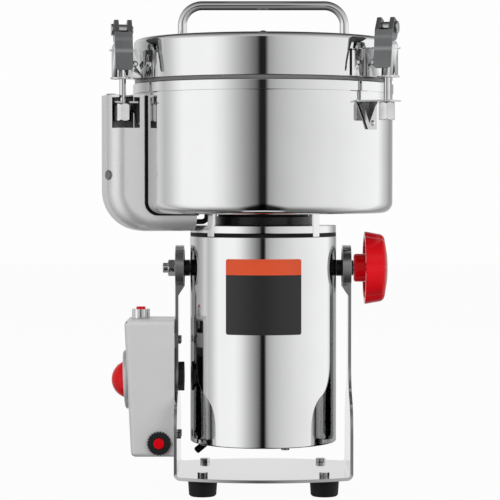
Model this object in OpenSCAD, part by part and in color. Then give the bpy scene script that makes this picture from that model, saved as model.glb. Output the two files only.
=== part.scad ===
// Swing-type electric grain mill: a polished bowl and motor column that tilt between
// the two uprights of a folded sheet stand, with three toggle clamps on the lid.
// Frame: origin on the floor under the bowl axis, +X right, +Y to the back, +Z up.

/* [Stand] */
// Space between the motor case and each upright
motor_gap = 11.2; // [9.5:0.1:13]
// Thickness of the folded sheet
sheet_t = 3; // [2:0.5:3.5]
// Outer radius of the bend between base and uprights
bend_r = 6; // [4:0.5:8]
// Space between the base and the motor's bottom edge
under_gap = 28.6; // [26:0.2:32]
// Radius of the round ear at the top of each upright
ear_r = 22.5; // [20:0.5:24]
// Width of the turned-in rim around each ear
ear_rim_w = 8.5; // [5:0.5:10]
// How far the rim reaches below the tilt axis
ear_rim_drop = 26.8; // [20:0.2:30]
// Half the depth of an upright at its neck
neck_half_d = 15; // [13:0.5:17]
// Height where the neck starts to flare
flare_top_z = 127; // [120:1:140]
// Height where the flare reaches its full depth
flare_low_z = 58; // [50:1:70]
// Half the depth of the base at its corners
base_corner_half_d = 62; // [60:1:68]
// Half the depth of the base at its middle
base_mid_half_d = 82; // [76:1:88]

/* [Feet] */
// Height of the rubber feet
foot_h = 15.8; // [12:0.2:18]
// Radius of a foot at the top
foot_top_r = 14.2; // [12:0.2:15]
// Radius of a foot at the floor
foot_low_r = 13.2; // [11:0.2:14]
// Foot centre from the axis, sideways
foot_x = 58.6; // [50:0.2:62]
// Foot centre from the axis, front to back
foot_y = 54; // [48:1:56]
// Radius of the foot bolts
foot_bolt_r = 3; // [2.5:0.5:4]

/* [Pivot and lock knob] */
// Radius of the two threaded studs
stud_r = 5; // [4:0.5:6]
// Radius of the spacers between motor and ears
spacer_r = 8; // [7:0.5:9]
// Width across flats of the left pivot nut
pivot_nut_af = 16; // [15:0.5:18]
// Height of the left pivot nut
pivot_nut_h = 7.2; // [6:0.2:9]
// Length of thread past the left nut
stud_end_l = 5.2; // [2:0.2:8]
// Outer radius of the lock knob at its back edge
knob_r = 35.8; // [30:0.2:38]
// Depth of the knob's skirt along the axis
knob_skirt_l = 22; // [18:0.5:26]
// Radius of the knob's hub
knob_hub_r = 13.8; // [11:0.2:16]
// Length of the knob's hub
knob_hub_l = 10.6; // [8:0.2:14]
// Number of lobes on the knob
knob_lobes = 6; // [5:1:8]
// Depth of the hollows between the lobes
knob_flute_d = 1.6; // [1:0.1:3]

/* [Motor] */
// Outer radius of the motor case
motor_r = 72; // [70:0.1:73]
// Wall of the motor case
case_t = 1.5; // [1:0.1:2]
// Height of the motor case
case_h = 201.8; // [198:0.2:206]
// Distance of the tilt axis below the top of the motor case
pivot_drop = 31.4; // [28:0.2:36]
// Thickness of the gasket on the case
cap_gasket_t = 3.4; // [2:0.1:4]
// Thickness of the top cap
cap_t = 7.7; // [6:0.1:9]
// Radius of the black neck housing
neck_r = 46.5; // [42:0.5:50]
// Height of the neck housing above the cap
neck_h = 8.2; // [7:0.1:9]
// Radius of the motor shaft
shaft_r = 8.5; // [7.5:0.1:9]
// Outer radius of the armature
armature_r = 33; // [28:0.5:36]
// Length of the laminated cores
core_l = 70; // [60:1:76]

/* [Bowl] */
// Outer radius of the bowl
bowl_r = 127; // [125:0.5:129]
// Wall of the bowl
bowl_t = 1.5; // [1.2:0.1:2]
// Thickness of the bowl's floor
bowl_floor_t = 2.5; // [2:0.1:3]
// Gap that the neck gasket fills under the bowl
neck_gasket_t = 3.3; // [2.5:0.1:4]
// Outer radius of the corner at the bowl's floor
bowl_corner_r = 11; // [8:0.5:14]
// Height of the bowl
bowl_h = 125.6; // [120:0.2:130]
// Height of the thicker collar at the bowl's mouth
collar_h = 9.6; // [8:0.1:12]
// How far the collar stands out from the wall
collar_out = 0.8; // [0.5:0.1:1.5]

/* [Lid] */
// Thickness of the lid seal
lid_seal_t = 3.9; // [3:0.1:5]
// Height of the lid
lid_h = 40; // [37:0.5:42]
// Radius of the lid's top edge
lid_edge_r = 5; // [3:0.5:8]
// Wall of the lid
lid_t = 1.5; // [1.2:0.1:2]
// Outer half span of the handle
handle_half_span = 84; // [70:1:95]
// Height of the handle above the lid
handle_h = 38.5; // [34:0.5:45]
// Radius of the handle rod
handle_rod_r = 4.5; // [3.5:0.1:6]
// Radius of the handle's bends, to the middle of the rod
handle_bend_r = 19.5; // [12:0.5:24]

/* [Clamps] */
// Distance of the draw rods from the bowl's wall
clamp_out = 19; // [17:0.2:22]
// Direction of the left clamp
clamp_left_a = 202.5; // [202:0.5:203]
// Direction of the right clamp
clamp_right_a = 322.5; // [320:0.5:325]
// Direction of the back clamp
clamp_back_a = 82.5; // [80:0.5:85]
// Radius of the draw rods
rod_r = 3.2; // [2.8:0.1:3.6]
// Width across flats of the long nuts
long_nut_af = 14.5; // [13:0.1:15.5]
// Height of the long nuts
long_nut_h = 16.8; // [15:0.2:20]
// Thickness of the fork plates
fork_t = 1.6; // [1.2:0.1:2.2]
// Depth of a fork's tongue on the bowl wall
fork_tongue_h = 25.6; // [20:0.2:30]
// Outer radius of a lug's round nose
lug_nose_r = 10.5; // [9.5:0.1:11]
// Height of a lug
lug_h = 25.4; // [22:0.2:27]
// Sheet of the lugs
lug_t = 1.5; // [1.2:0.1:2]
// Thickness of a lug's top and bottom plate
lug_plate_t = 1.3; // [1:0.1:2]
// Height of the domed seat under a lever's cam
seat_h = 6.4; // [5:0.2:8]
// Radius of the cam with the clamp shut
cam_r = 12.2; // [11.5:0.1:13]
// How far the cam lets the rod drop
cam_drop = 4; // [2.5:0.1:4.5]
// Turn of a lever from shut to open, in degrees
lever_turn = 165; // [140:5:170]
// Width of a clamp lever
lever_w = 17; // [15.5:0.1:18]
// Length of a lever below its pin
lever_l = 39.5; // [34:0.5:40]
// Radius of the lever pins
pin_r = 2.5; // [2:0.1:2.8]

/* [Wiring duct] */
// Direction of the duct's middle
duct_a = 195; // [194:0.5:196]
// Distance of the duct's outer face from the bowl's wall
duct_out = 32.2; // [31.5:0.1:34]
// Front face from the duct's middle
duct_front = 29; // [28.5:0.1:31]
// Back face from the duct's middle
duct_back = 26; // [22:0.5:28]
// How far the duct's top is below the bowl's mouth
duct_top_drop = 11.8; // [10.4:0.1:12.9]
// How far the duct's underside is below the bowl
duct_under = 17; // [14.8:0.1:19.3]
// Outer radius of the duct's sweep under the bowl
duct_bend_r = 39; // [36:0.5:39.5]
// Radius of the duct's long front and back edges
duct_edge_r = 16; // [12:0.5:18]
// Wall of the duct
duct_t = 1.5; // [1:0.1:2]
// Space between the motor's side and the duct's inner end
duct_end_gap = 2; // [1.5:0.1:8]

/* [Control box] */
// Height of the box's underside
box_low_z = 34.5; // [32:0.5:40]
// Height of the box's top
box_top_z = 168; // [160:0.5:170]
// How far the box stands out at its top
box_top_w = 49; // [46:0.5:54]
// How far the box stands out at its underside
box_low_w = 43; // [41:0.5:46]
// Half the depth of the box
box_half_d = 33.5; // [32:0.5:34]
// Radius of the box's edges
box_edge_r = 5; // [3:0.5:6]
// Wall of the box
box_t = 1.6; // [1.2:0.1:2.2]
// Height of the timer's axis
timer_z = 107.7; // [98:0.1:115]
// Radius of the timer's bezel
bezel_r = 28.9; // [24:0.1:30]
// Thickness of the timer's bezel
bezel_t = 4; // [3:0.1:5]
// Radius of the timer knob
timer_knob_r = 17.8; // [15:0.1:20]
// Height of the domed timer knob
timer_knob_h = 12.6; // [11:0.1:14]
// Radius of the start switch's fluted ring
start_ring_r = 8.85; // [8:0.05:10]
// Height of the start switch's ring
start_ring_h = 9.4; // [8:0.1:11]
// Radius of the start button
start_button_r = 4.5; // [4:0.1:5]
// Radius of the breaker's knurled ring
breaker_ring_r = 11.6; // [10.5:0.1:12.5]
// Radius of the reset button
reset_button_r = 5.2; // [4.5:0.1:6]
// Travel of the push buttons
button_travel = 2; // [1.5:0.1:2.2]

/* [Label] */
// Half the width of the label, along a chord
label_half_w = 36.1; // [30:0.5:40]
// Distance of the label's top below the top of the motor case
label_drop = 20.7; // [16:0.1:26]
// Height of the label
label_h = 72.4; // [60:0.5:75]

/* [Hidden] */
$fn = 72;
overrun = 1;
// Radial clearance of a shaft or pin in its bore
run_gap = 0.05;
// Space between a piece and what it is seated on
seat_gap = 0.3;
// Radial clearance around a screw's shank
screw_gap = 0.1;

// Heights that stack up from the motor to the handle
base_z = foot_h;
base_top_z = base_z + sheet_t;
case_low_z = base_top_z + under_gap;
case_top_z = case_low_z + case_h;
case_r_in = motor_r - case_t;
pivot_z = case_top_z - pivot_drop;
stand_half_w = motor_r + motor_gap + sheet_t;
cap_low_z = case_top_z + cap_gasket_t;
cap_top_z = cap_low_z + cap_t;
neck_top_z = cap_top_z + neck_h;
bowl_low_z = neck_top_z + neck_gasket_t;
bowl_floor_z = bowl_low_z + bowl_floor_t;
bowl_top_z = bowl_low_z + bowl_h;
bowl_r_in = bowl_r - bowl_t;
lid_low_z = bowl_top_z + lid_seal_t;
lid_top_z = lid_low_z + lid_h;
handle_top_z = lid_top_z + handle_h;

// The bowed edge of the base and the S-curve of the uprights
bow_rise = base_mid_half_d - base_corner_half_d + seat_gap;
bow_r = (pow(stand_half_w, 2) + pow(bow_rise, 2)) / (2 * bow_rise);
flare_run = base_corner_half_d - neck_half_d;
flare_fall = flare_top_z - flare_low_z;
flare_r = (pow(flare_run, 2) + pow(flare_fall, 2)) / (4 * flare_run);
hollow_y = neck_half_d + flare_r;
bulge_y = base_corner_half_d - flare_r;
flare_turn = asin(flare_fall / 2 / flare_r);
flare_steps = 14;
rim_taper_h = ear_rim_w;
ear_rim_low_z = pivot_z - ear_rim_drop;
upright_in_x = stand_half_w - sheet_t;

// Feet and their bolts
foot_recess_r = 6.5;
foot_recess_h = 5;
foot_round_r = 1.5;
foot_bolt_head_h = 3;
foot_bolt_head_r = 5.5;
foot_nut_r = 5;
foot_nut_h = 4;

// Pivot: threaded bosses inside the case, spacers, nut, washer and knob
boss_r = 13;
boss_l = 9;
stud_grip = 7;
pivot_nut_r = pivot_nut_af / 2 / cos(30);
washer_r = 7.5;
washer_t = 2.2;
knob_x = stand_half_w + seat_gap + washer_t + seat_gap;
knob_skirt_x = knob_x + knob_hub_l;
knob_end_x = knob_skirt_x + knob_skirt_l;
knob_round_share = 0.27;
knob_cone_a = 10;
knob_flat_r = 15.4;
knob_taper = 2.4;
knob_hub_round = 2.5;
knob_back_lip = 2;
knob_web_t = 7;
knob_flute_r = 16;

// Motor inside: end frame, cores, brushes, bearings, fan
bearing_r = 17.5;
bearing_w = 11;
frame_lift = 14.6;
frame_z = case_low_z + frame_lift;
core_lift = 50;
core_low_z = frame_z + core_lift;
core_top_z = core_low_z + core_l;
air_gap = 1;
coil_a = 50;
coil_leg_a = 5;
coil_gap_a = 1;
coil_h = 11;
coil_in_gap = 7;
coil_r_in = armature_r + coil_in_gap;
coil_t = 9;
frame_t = 6;
frame_hub_wall = 6;
frame_hub_floor = 4;
frame_hub_r = bearing_r + frame_hub_wall;
frame_hub_h = bearing_w + frame_hub_floor;
frame_window_r = 10;
frame_window_dist = (case_r_in + frame_hub_r) / 2;
commutator_r = 19;
commutator_drop = 30;
commutator_low_z = core_low_z - commutator_drop;
commutator_h = 20;
brush_z = commutator_low_z + commutator_h / 2;
brush_w = 7;
brush_h = 10;
brush_l = 20;
holder_wall = 2.5;
holder_post_w = 12;
fan_side_gap = 14.5;
fan_r = case_r_in - fan_side_gap;
fan_hub_r = 14;
fan_lift = 6;
fan_low_z = core_top_z + coil_h + fan_lift;
fan_h = 16;
fan_plate_t = 2;
fan_blade_t = 2;
fan_blades = 12;
shaft_low_z = frame_z + air_gap;
neck_spigot_r = 28;
neck_gasket_in = 2;
tab_w = 9;
tab_t = 2.6;
tab_angles = [45, 135, 225, 315];
cover_t = 2;
cover_in = 0.8;
cover_screw_in = 9.5;
cover_screw_dist = case_r_in - cover_screw_in;
cover_screw_a = 20;
cover_screw_r = 2;
cover_head_r = 4;
cover_head_h = 3.4;
vent_w = 5;
vent_in_r = 22;
vent_side_gap = 20.5;
vent_out_r = case_r_in - vent_side_gap;
vent_count = 12;
lead_r = 3.4;
lead_side_gap = 15.5;
lead_x = -(case_r_in - lead_side_gap);
lead_tilt = 50;
lead_l = 15;
lead_collar_r = 5;
lead_collar_l = 2;
lead_end_l = 1;

// Blades on the shaft end
thread_r = 7;
seal_r = 13.8;
seal_rise = 3.5;
collar_gap = 0.5;
collar_z = bowl_floor_z + seal_rise + collar_gap;
shaft_collar_r = 12;
shaft_collar_h = 2.5;
blade_t = 3;
blade_hub_r = 13;
lower_blade_z = collar_z + shaft_collar_h;
lower_blade_gap = 13.5;
lower_blade_reach = bowl_r_in - lower_blade_gap;
lower_blade_w = 28;
blade_tip_h = 26;
blade_tip_w = 24;
upper_blade_lift = 17;
upper_blade_z = lower_blade_z + blade_t + upper_blade_lift;
upper_blade_gap = 29.5;
upper_blade_reach = bowl_r_in - upper_blade_gap;
blade_nut_af = 22;
blade_nut_h = 9;
blade_sweep = 14;
blade_root_share = 1.15;
blade_end_share = 0.62;

// Handle feet and the lid's middle nut
handle_foot_r = 8;
handle_foot_t = 2;
mid_nut_r = 6.5;
mid_nut_h = 10;
mid_washer_r = 9;
mid_washer_t = 1.5;
seal_in = 0.8;
seal_ring_w = 6;

// Clamp heights and small parts
wall_gap = seat_gap;
clamp_dist = bowl_r + clamp_out;
lug_edge_gap = 0.6;
lug_low_z = lid_low_z + lug_edge_gap;
lug_top_z = lug_low_z + lug_h;
seat_low_z = lug_top_z + lug_plate_t;
seat_top_z = seat_low_z + seat_h;
pin_z = seat_top_z + seat_gap + cam_r;
plate_over = 2.2;
low_plate_over = 1.3;
seat_flat_r = 9;
seat_foot_r = 10.3;
seat_round_r = 1.4;
rod_hole_gap = 0.5;
flange_in_a = 4.4;
flange_out_a = 12.6;
flange_bolt_a = 8.6;
flange_bolt_r = 2;
flange_head_r = 3.4;
flange_head_h = 2.6;
cross_pin_in = 9;
cross_pin_dist = clamp_dist - cross_pin_in;
cross_pin_r = 2;
cross_head_r = 3.2;
cross_head_t = 1.6;
fork_drop = 19.9;
fork_z = bowl_top_z - fork_drop;
long_nut_top_z = fork_z - seat_gap;
long_nut_low_z = long_nut_top_z - long_nut_h;
long_nut_r = long_nut_af / 2 / cos(30);
nut_chamfer = 1.4;
fork_out = 10;
fork_back_w = 21;
fork_tip_w = 10;
fork_open_w = 9;
slot_gap = 0.7;
tongue_low_w = 6;
web_t = 1.6;
web_side = -3;
web_reach = 10.2;
web_h = 20;
rivet_r = 1.6;
rivet_head_r = 2.9;
rivet_head_h = 1.8;
rivet_rise = 6;
eye_r = 5.2;
eye_w = 7.6;
ear_gap = 8.2;
lever_in = 12.9;
lever_t = 2.4;
lever_ear_top = 9.3;
lever_ear_run = 5;
lever_tip_r = 4;
lever_lean = 7.6;
lever_bend_shares = [[0.07, 0], [0.53, 0.44], [0.81, 0.86], [1, 1]];
lever_left_turn = -14.5;
lever_right_turn = 21.5;
lever_back_turn = 0;
cam_steps = 22;
pin_head_r = 5.7;
pin_head_t = 2.2;
pin_tail_r = 3.6;
pin_tail_t = 1.4;

// Duct cut-outs, its screws and the interlock switch
duct_reach = bowl_r + duct_out;
duct_top_z = bowl_top_z - duct_top_drop;
duct_low_z = bowl_low_z - duct_under;
duct_end_dist = motor_r + duct_end_gap;
rod_in_duct = clamp_dist * cos(clamp_left_a - duct_a);
rod_side = clamp_dist * sin(clamp_left_a - duct_a);
window_in_w = 14.75;
window_in = rod_in_duct - window_in_w;
window_edge_w = 3.4;
window_out = duct_reach - window_edge_w;
window_under = 6.6;
window_low_z = long_nut_low_z - window_under;
window_top_t = 2.6;
window_top_z = duct_top_z - window_top_t;
slot_in_w = 8.25;
rod_slot_in = rod_in_duct - slot_in_w;
slot_out_w = 5.05;
rod_slot_out = rod_in_duct + slot_out_w;
slot_back_w = 6.05;
rod_slot_back = rod_side - slot_back_w;
duct_screw_a = 20;
duct_screw_lift = 37.1;
duct_screw_z = bowl_low_z + duct_screw_lift;
duct_screw_r = 2;
duct_head_r = 4.6;
duct_head_h = 1.6;
duct_top_screw_in = 7.2;
duct_top_screw_dist = duct_reach - duct_top_screw_in;
duct_screw_l = 8;
switch_w = 20;
switch_l = 16;
switch_stand_off = 5.8;
switch_side = rod_side - long_nut_af / 2 - switch_stand_off;
switch_h = 16;
plunger_r = 2;
plunger_l = 11;
switch_lead_r = 2.5;
switch_lead_bend = 5;
switch_lead_side = 20;
switch_lead_lift = 3.6;
switch_lead_z = cap_top_z + switch_lead_lift;
switch_lead_in = 10;
switch_lead_dist = motor_r - switch_lead_in;

// Control box: slanted face, timer, switch, breaker, glands and screws
box_in_x = -(stand_half_w + seat_gap);
box_h = box_top_z - box_low_z;
face_tilt = atan((box_top_w - box_low_w) / box_h);
timer_x = -(stand_half_w + box_low_w + (box_top_w - box_low_w) * (timer_z - box_low_z) / box_h);
strap_h = 14;
strap_top_in = 21;
strap_low_in = 19;
strap_top_z = box_top_z - strap_top_in;
strap_low_z = box_low_z + strap_low_in;
box_screw_r = 2;
box_screw_y = 9;
box_screw_head_r = 3.6;
box_screw_head_h = 2.4;
box_screw_l = 7;
timer_case_w = 40;
timer_case_l = 26;
bush_r = 5;
spindle_r = 3;
spindle_l = 14;
bezel_round = 2;
pointer_w = 1.6;
pointer_d = 0.8;
start_out = 34.4;
start_x = -(stand_half_w + start_out);
start_case_r = 7.4;
start_case_l = 20;
start_rise = 2.3;
start_button_l = 11;
flute_count = 14;
flute_r = 0.9;
breaker_out = 15.2;
breaker_lift = 13.8;
breaker_x = -(stand_half_w + breaker_out);
breaker_z = box_low_z + breaker_lift;
breaker_ring_t = 4.2;
breaker_case_w = 18;
breaker_case_l = 26;
breaker_step_r = 7.6;
reset_rise = 1.6;
reset_button_l = 9;
knurl_count = 24;
gland_lift = 76.3;
gland_z = box_low_z + gland_lift;
gland_af = 25;
gland_nut_t = 5.5;
gland_r = 9;
gland_bore_r = 5;
gland_l = 9;
inlet_out = 22;
inlet_lift = 27.5;
inlet_x = -(stand_half_w + inlet_out);
inlet_z = box_low_z + inlet_lift;
inlet_r = 8;
inlet_end_r = 6;
inlet_l = 15;
inlet_flange_r = 10.5;
inlet_flange_t = 3;
inlet_bore_r = 3.6;
label_t = 0.5;
label_corner_r = 2;
label_low_z = case_top_z - label_drop - label_h;

steel = "#c9ccd0";
bright = "#dfe2e5";
satin = "#c4c6c8";
black = "#202224";
dark = "#5d6063";
red = "#c40014";
copper = "#b5713c";

// Shared shapes

module ring(r_out, r_in, h) {
    difference() {
        cylinder(r = r_out, h = h);
        up(-overrun) cylinder(r = r_in, h = h + 2 * overrun);
    }
}

// A cup shape: a cylinder whose lower edge is rounded
module round_bottom(r, h, edge) {
    rotate_extrude() {
        square([r - edge, h]);
        translate([0, edge]) square([r, h - edge]);
        intersection() {
            translate([r - edge, edge]) circle(r = edge);
            square([r, edge]);
        }
    }
}

module up(z) {
    translate([0, 0, z]) children();
}

module along_x() {
    rotate([0, 90, 0]) children();
}

module along_y() {
    rotate([-90, 0, 0]) children();
}

module at_clamp(a) {
    rotate([0, 0, a]) children();
}

module each_clamp() {
    for (a = [clamp_left_a, clamp_right_a, clamp_back_a]) at_clamp(a) children();
}

module each_foot() {
    for (sx = [-1, 1], sy = [-1, 1]) translate([sx * foot_x, sy * foot_y, 0]) children();
}

// A sector of a ring, from angle a0 to a1 about +Z
module ring_sector(r_out, r_in, h, a0, a1) {
    rotate([0, 0, a0]) rotate_extrude(angle = a1 - a0) translate([r_in, 0]) square([r_out - r_in, h]);
}

// A hexagon nut with its corners turned off at both ends
module hex_nut(r, h) {
    low = r - nut_chamfer;
    wide = r + overrun;
    intersection() {
        cylinder(r = r, h = h, $fn = 6);
        rotate_extrude()
            polygon([[0, 0], [low, 0], [wide, wide - low], [wide, h - wide + low], [low, h], [0, h]]);
    }
}

// Stand

// The S-curve from the base corner up to the neck: a bulge, then a hollow, meeting halfway
function flare_points() = concat(
    [for (i = [0 : flare_steps]) let (t = flare_turn * i / flare_steps)
        [bulge_y + flare_r * cos(t), flare_low_z + flare_r * sin(t)]],
    [for (i = [1 : flare_steps]) let (t = flare_turn * (1 - i / flare_steps))
        [hollow_y - flare_r * cos(t), flare_top_z - flare_r * sin(t)]]);

function mirrored(points) = [for (i = [len(points) - 1 : -1 : 0]) [-points[i][0], points[i][1]]];

// Side view of an upright: round ear, neck, S-curve and foot, drawn as depth and height
module upright_outline() {
    right = concat([[base_corner_half_d, base_z]], flare_points(), [[neck_half_d, pivot_z]]);
    translate([0, pivot_z]) circle(r = ear_r);
    polygon(concat(right, mirrored(right)));
}

// The ear and neck alone, moved inwards by the inset
module ear_outline(inset) {
    translate([0, pivot_z]) circle(r = ear_r - inset);
    translate([-neck_half_d + inset, ear_rim_low_z - overrun])
        square([2 * (neck_half_d - inset), pivot_z - ear_rim_low_z + overrun]);
}

// Front view of the folded sheet: a U with rounded lower corners
module u_outline(inset) {
    half = stand_half_w - inset;
    r = bend_r - inset;
    top = pivot_z + ear_r;
    translate([-half, base_z + bend_r]) square([2 * half, top - base_z]);
    translate([-half + r, base_z + inset]) square([2 * (half - r), bend_r]);
    for (s = [-1, 1]) translate([s * (half - r), base_z + bend_r]) circle(r = r);
}

module base_plan() {
    intersection() {
        translate([-stand_half_w - overrun, -base_mid_half_d - overrun])
            square(2 * [stand_half_w + overrun, base_mid_half_d + overrun]);
        translate([0, bow_r - base_mid_half_d]) circle(r = bow_r, $fn = 180);
        translate([0, base_mid_half_d - bow_r]) circle(r = bow_r, $fn = 180);
    }
}

module side_extrude(x0, x1) {
    translate([x0, 0, 0]) rotate([90, 0, 90]) linear_extrude(x1 - x0) children();
}

module ear_rim() {
    rim_x = stand_half_w - ear_rim_w;
    intersection() {
        side_extrude(rim_x, upright_in_x) difference() {
            ear_outline(0);
            ear_outline(sheet_t);
        }
        rotate([90, 0, 0]) up(-ear_r) linear_extrude(2 * ear_r)
            polygon([[rim_x, pivot_z + ear_r], [rim_x, ear_rim_low_z + rim_taper_h],
                [upright_in_x, ear_rim_low_z], [upright_in_x, pivot_z + ear_r]]);
    }
}

module stand_frame() {
    color(bright) difference() {
        union() {
            intersection() {
                rotate([90, 0, 0]) up(-base_mid_half_d)
                    linear_extrude(2 * base_mid_half_d) difference() {
                        u_outline(0);
                        u_outline(sheet_t);
                    }
                union() {
                    side_extrude(-stand_half_w - overrun, stand_half_w + overrun) upright_outline();
                    up(base_z) linear_extrude(bend_r) base_plan();
                }
            }
            ear_rim();
            mirror([1, 0, 0]) ear_rim();
        }
        translate([-stand_half_w - overrun, 0, pivot_z]) along_x()
            cylinder(r = stud_r + run_gap, h = 2 * (stand_half_w + overrun));
        each_foot() up(base_z - overrun)
            cylinder(r = foot_bolt_r + screw_gap, h = sheet_t + 2 * overrun);
        translate([-stand_half_w - overrun, 0, gland_z]) along_x()
            cylinder(r = gland_r + screw_gap, h = sheet_t + 2 * overrun);
        box_screw_places() up(-sheet_t - 2 * overrun)
            cylinder(r = box_screw_r + screw_gap, h = sheet_t + 3 * overrun);
    }
}

module rubber_feet() {
    color(black) each_foot() difference() {
        union() {
            up(foot_round_r)
                cylinder(r1 = foot_low_r, r2 = foot_top_r, h = foot_h - foot_round_r);
            cylinder(r1 = foot_low_r - foot_round_r, r2 = foot_low_r, h = foot_round_r);
        }
        up(-overrun) cylinder(r = foot_recess_r, h = foot_recess_h + overrun);
        cylinder(r = foot_bolt_r + screw_gap, h = foot_h + overrun);
    }
}

module foot_bolts() {
    color(steel) each_foot() {
        up(foot_recess_h - foot_bolt_head_h)
            cylinder(r = foot_bolt_head_r, h = foot_bolt_head_h);
        up(foot_recess_h)
            cylinder(r = foot_bolt_r, h = base_top_z + foot_nut_h - foot_recess_h);
        up(base_top_z) cylinder(r = foot_nut_r, h = foot_nut_h, $fn = 6);
    }
}

// Control box on the left upright

// Corners of the box in front view, moved inwards by the inset
function box_corners(inset) = [
    [box_in_x, box_low_z + inset],
    [-(stand_half_w + box_low_w - inset), box_low_z + inset],
    [-(stand_half_w + box_top_w - inset), box_top_z - inset],
    [box_in_x, box_top_z - inset]];

module box_block() {
    e = box_edge_r;
    c = box_corners(e);
    hull() for (sy = [-1, 1]) {
        for (i = [1, 2]) translate([c[i][0], sy * (box_half_d - e), c[i][1]]) sphere(r = e, $fn = 28);
        for (i = [0, 3]) translate([c[i][0] - e, sy * (box_half_d - e), c[i][1]])
            along_x() cylinder(r = e, h = e, $fn = 28);
    }
}

module box_hollow() {
    c = box_corners(box_t);
    half = box_half_d - box_t;
    translate([0, half, 0]) rotate([90, 0, 0]) linear_extrude(2 * half)
        polygon([[c[0][0] + overrun, c[0][1]], c[1], c[2], [c[3][0] + overrun, c[3][1]]]);
}

// Screws of the box, their axis along -X from the upright's inner face
module box_screw_places() {
    for (z = [strap_low_z, strap_top_z], sy = [-1, 1])
        translate([-upright_in_x, sy * box_screw_y, z]) rotate([0, -90, 0])
            mirror([0, 0, 1]) children();
}

module box_straps() {
    half = box_half_d - box_t;
    for (z = [strap_low_z, strap_top_z])
        translate([box_in_x - box_t, -half, z - strap_h / 2]) cube([box_t, 2 * half, strap_h]);
}

module at_timer() {
    translate([timer_x, 0, timer_z]) rotate([0, -90 - face_tilt, 0]) up(seat_gap) children();
}

module at_start() {
    translate([start_x, 0, box_top_z]) children();
}

module at_breaker() {
    translate([breaker_x, -box_half_d, breaker_z]) rotate([90, 0, 0]) children();
}

module at_inlet() {
    translate([inlet_x, box_half_d, inlet_z]) along_y() children();
}

module control_box() {
    color(satin) difference() {
        union() {
            difference() {
                box_block();
                box_hollow();
            }
            box_straps();
        }
        at_timer() up(-2 * box_t) cylinder(r = bush_r + screw_gap, h = 4 * box_t);
        at_start() up(-2 * box_t) cylinder(r = start_case_r + screw_gap, h = 4 * box_t);
        at_breaker() up(-2 * box_t) cylinder(r = breaker_step_r + screw_gap, h = 4 * box_t);
        at_inlet() up(-2 * box_t) cylinder(r = inlet_r + screw_gap, h = 4 * box_t);
        box_screw_places() up(-box_screw_l - overrun)
            cylinder(r = box_screw_r + screw_gap, h = box_screw_l);
    }
}

module box_screws() {
    color(steel) box_screw_places() {
        up(-box_screw_l) cylinder(r = box_screw_r, h = box_screw_l);
        cylinder(r = box_screw_head_r, h = box_screw_head_h);
    }
}

module timer_bezel() {
    color(satin) at_timer() difference() {
        rotate_extrude() {
            square([bezel_r, bezel_t - bezel_round]);
            square([bezel_r - bezel_round, bezel_t]);
            translate([bezel_r - bezel_round, bezel_t - bezel_round]) circle(r = bezel_round);
        }
        up(-overrun) cylinder(r = bush_r + screw_gap, h = bezel_t + 2 * overrun);
    }
}

module timer_case() {
    color(black) at_timer() difference() {
        union() {
            translate([-timer_case_w / 2, -timer_case_w / 2, -box_t - 2 * seat_gap - timer_case_l])
                cube([timer_case_w, timer_case_w, timer_case_l]);
            up(-box_t - overrun) cylinder(r = bush_r, h = box_t + bezel_t + overrun);
        }
        up(bezel_t - spindle_l - overrun)
            cylinder(r = spindle_r + run_gap, h = spindle_l + 2 * overrun);
    }
}

module timer_knob() {
    cap_r = (pow(timer_knob_r, 2) + pow(timer_knob_h, 2)) / (2 * timer_knob_h);
    color(red) at_timer() up(bezel_t + seat_gap) {
        difference() {
            intersection() {
                up(timer_knob_h - cap_r) sphere(r = cap_r);
                cylinder(r = timer_knob_r, h = timer_knob_h + overrun);
            }
            translate([timer_knob_r / 2, -pointer_w / 2, 0])
                cube([timer_knob_r, pointer_w, timer_knob_h]);
        }
        translate([timer_knob_r / 3, -pointer_w / 2, 0])
            cube([timer_knob_r / 2, pointer_w, timer_knob_h / 2]);
        up(-spindle_l) cylinder(r = spindle_r, h = spindle_l + overrun);
    }
}

module fluted_ring(r, h, count, flute) {
    difference() {
        cylinder(r = r, h = h);
        for (i = [0 : count - 1]) rotate([0, 0, i * 360 / count])
            translate([r, 0, -overrun]) cylinder(r = flute, h = h + 2 * overrun, $fn = 16);
    }
}

module start_switch() {
    color(bright) at_start() difference() {
        union() {
            fluted_ring(start_ring_r, start_ring_h, flute_count, flute_r);
            up(-start_case_l) cylinder(r = start_case_r, h = start_case_l + overrun);
        }
        up(start_ring_h + start_rise - start_button_l - button_travel - overrun)
            cylinder(r = start_button_r + 2 * run_gap, h = start_button_l + button_travel + 2 * overrun);
    }
}

module start_button() {
    color(red) at_start() up(start_ring_h + start_rise - start_button_l)
        cylinder(r = start_button_r, h = start_button_l);
}

module circuit_breaker() {
    color(black) at_breaker() difference() {
        union() {
            fluted_ring(breaker_ring_r, breaker_ring_t, knurl_count, flute_r);
            up(-2 * box_t) cylinder(r = breaker_step_r, h = 2 * box_t + overrun);
            translate([-breaker_case_w / 2, -breaker_case_w / 2, -box_t - seat_gap - breaker_case_l])
                cube([breaker_case_w, breaker_case_w, breaker_case_l]);
        }
        up(breaker_ring_t + reset_rise - reset_button_l - button_travel - overrun)
            cylinder(r = reset_button_r + 2 * run_gap, h = reset_button_l + button_travel + 2 * overrun);
    }
}

module reset_button() {
    color(red) at_breaker() up(breaker_ring_t + reset_rise - reset_button_l)
        cylinder(r = reset_button_r, h = reset_button_l);
}

// Lead gland through the left upright, its hexagon on the inner side
module cable_gland() {
    color(black) translate([-upright_in_x, 0, gland_z]) along_x() difference() {
        union() {
            cylinder(r = gland_af / 2 / cos(30), h = gland_nut_t, $fn = 6);
            up(-sheet_t - gland_l) cylinder(r = gland_r, h = sheet_t + gland_l);
        }
        up(-sheet_t - gland_l - overrun)
            cylinder(r = gland_bore_r, h = sheet_t + gland_l + gland_nut_t + 2 * overrun);
    }
}

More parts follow.
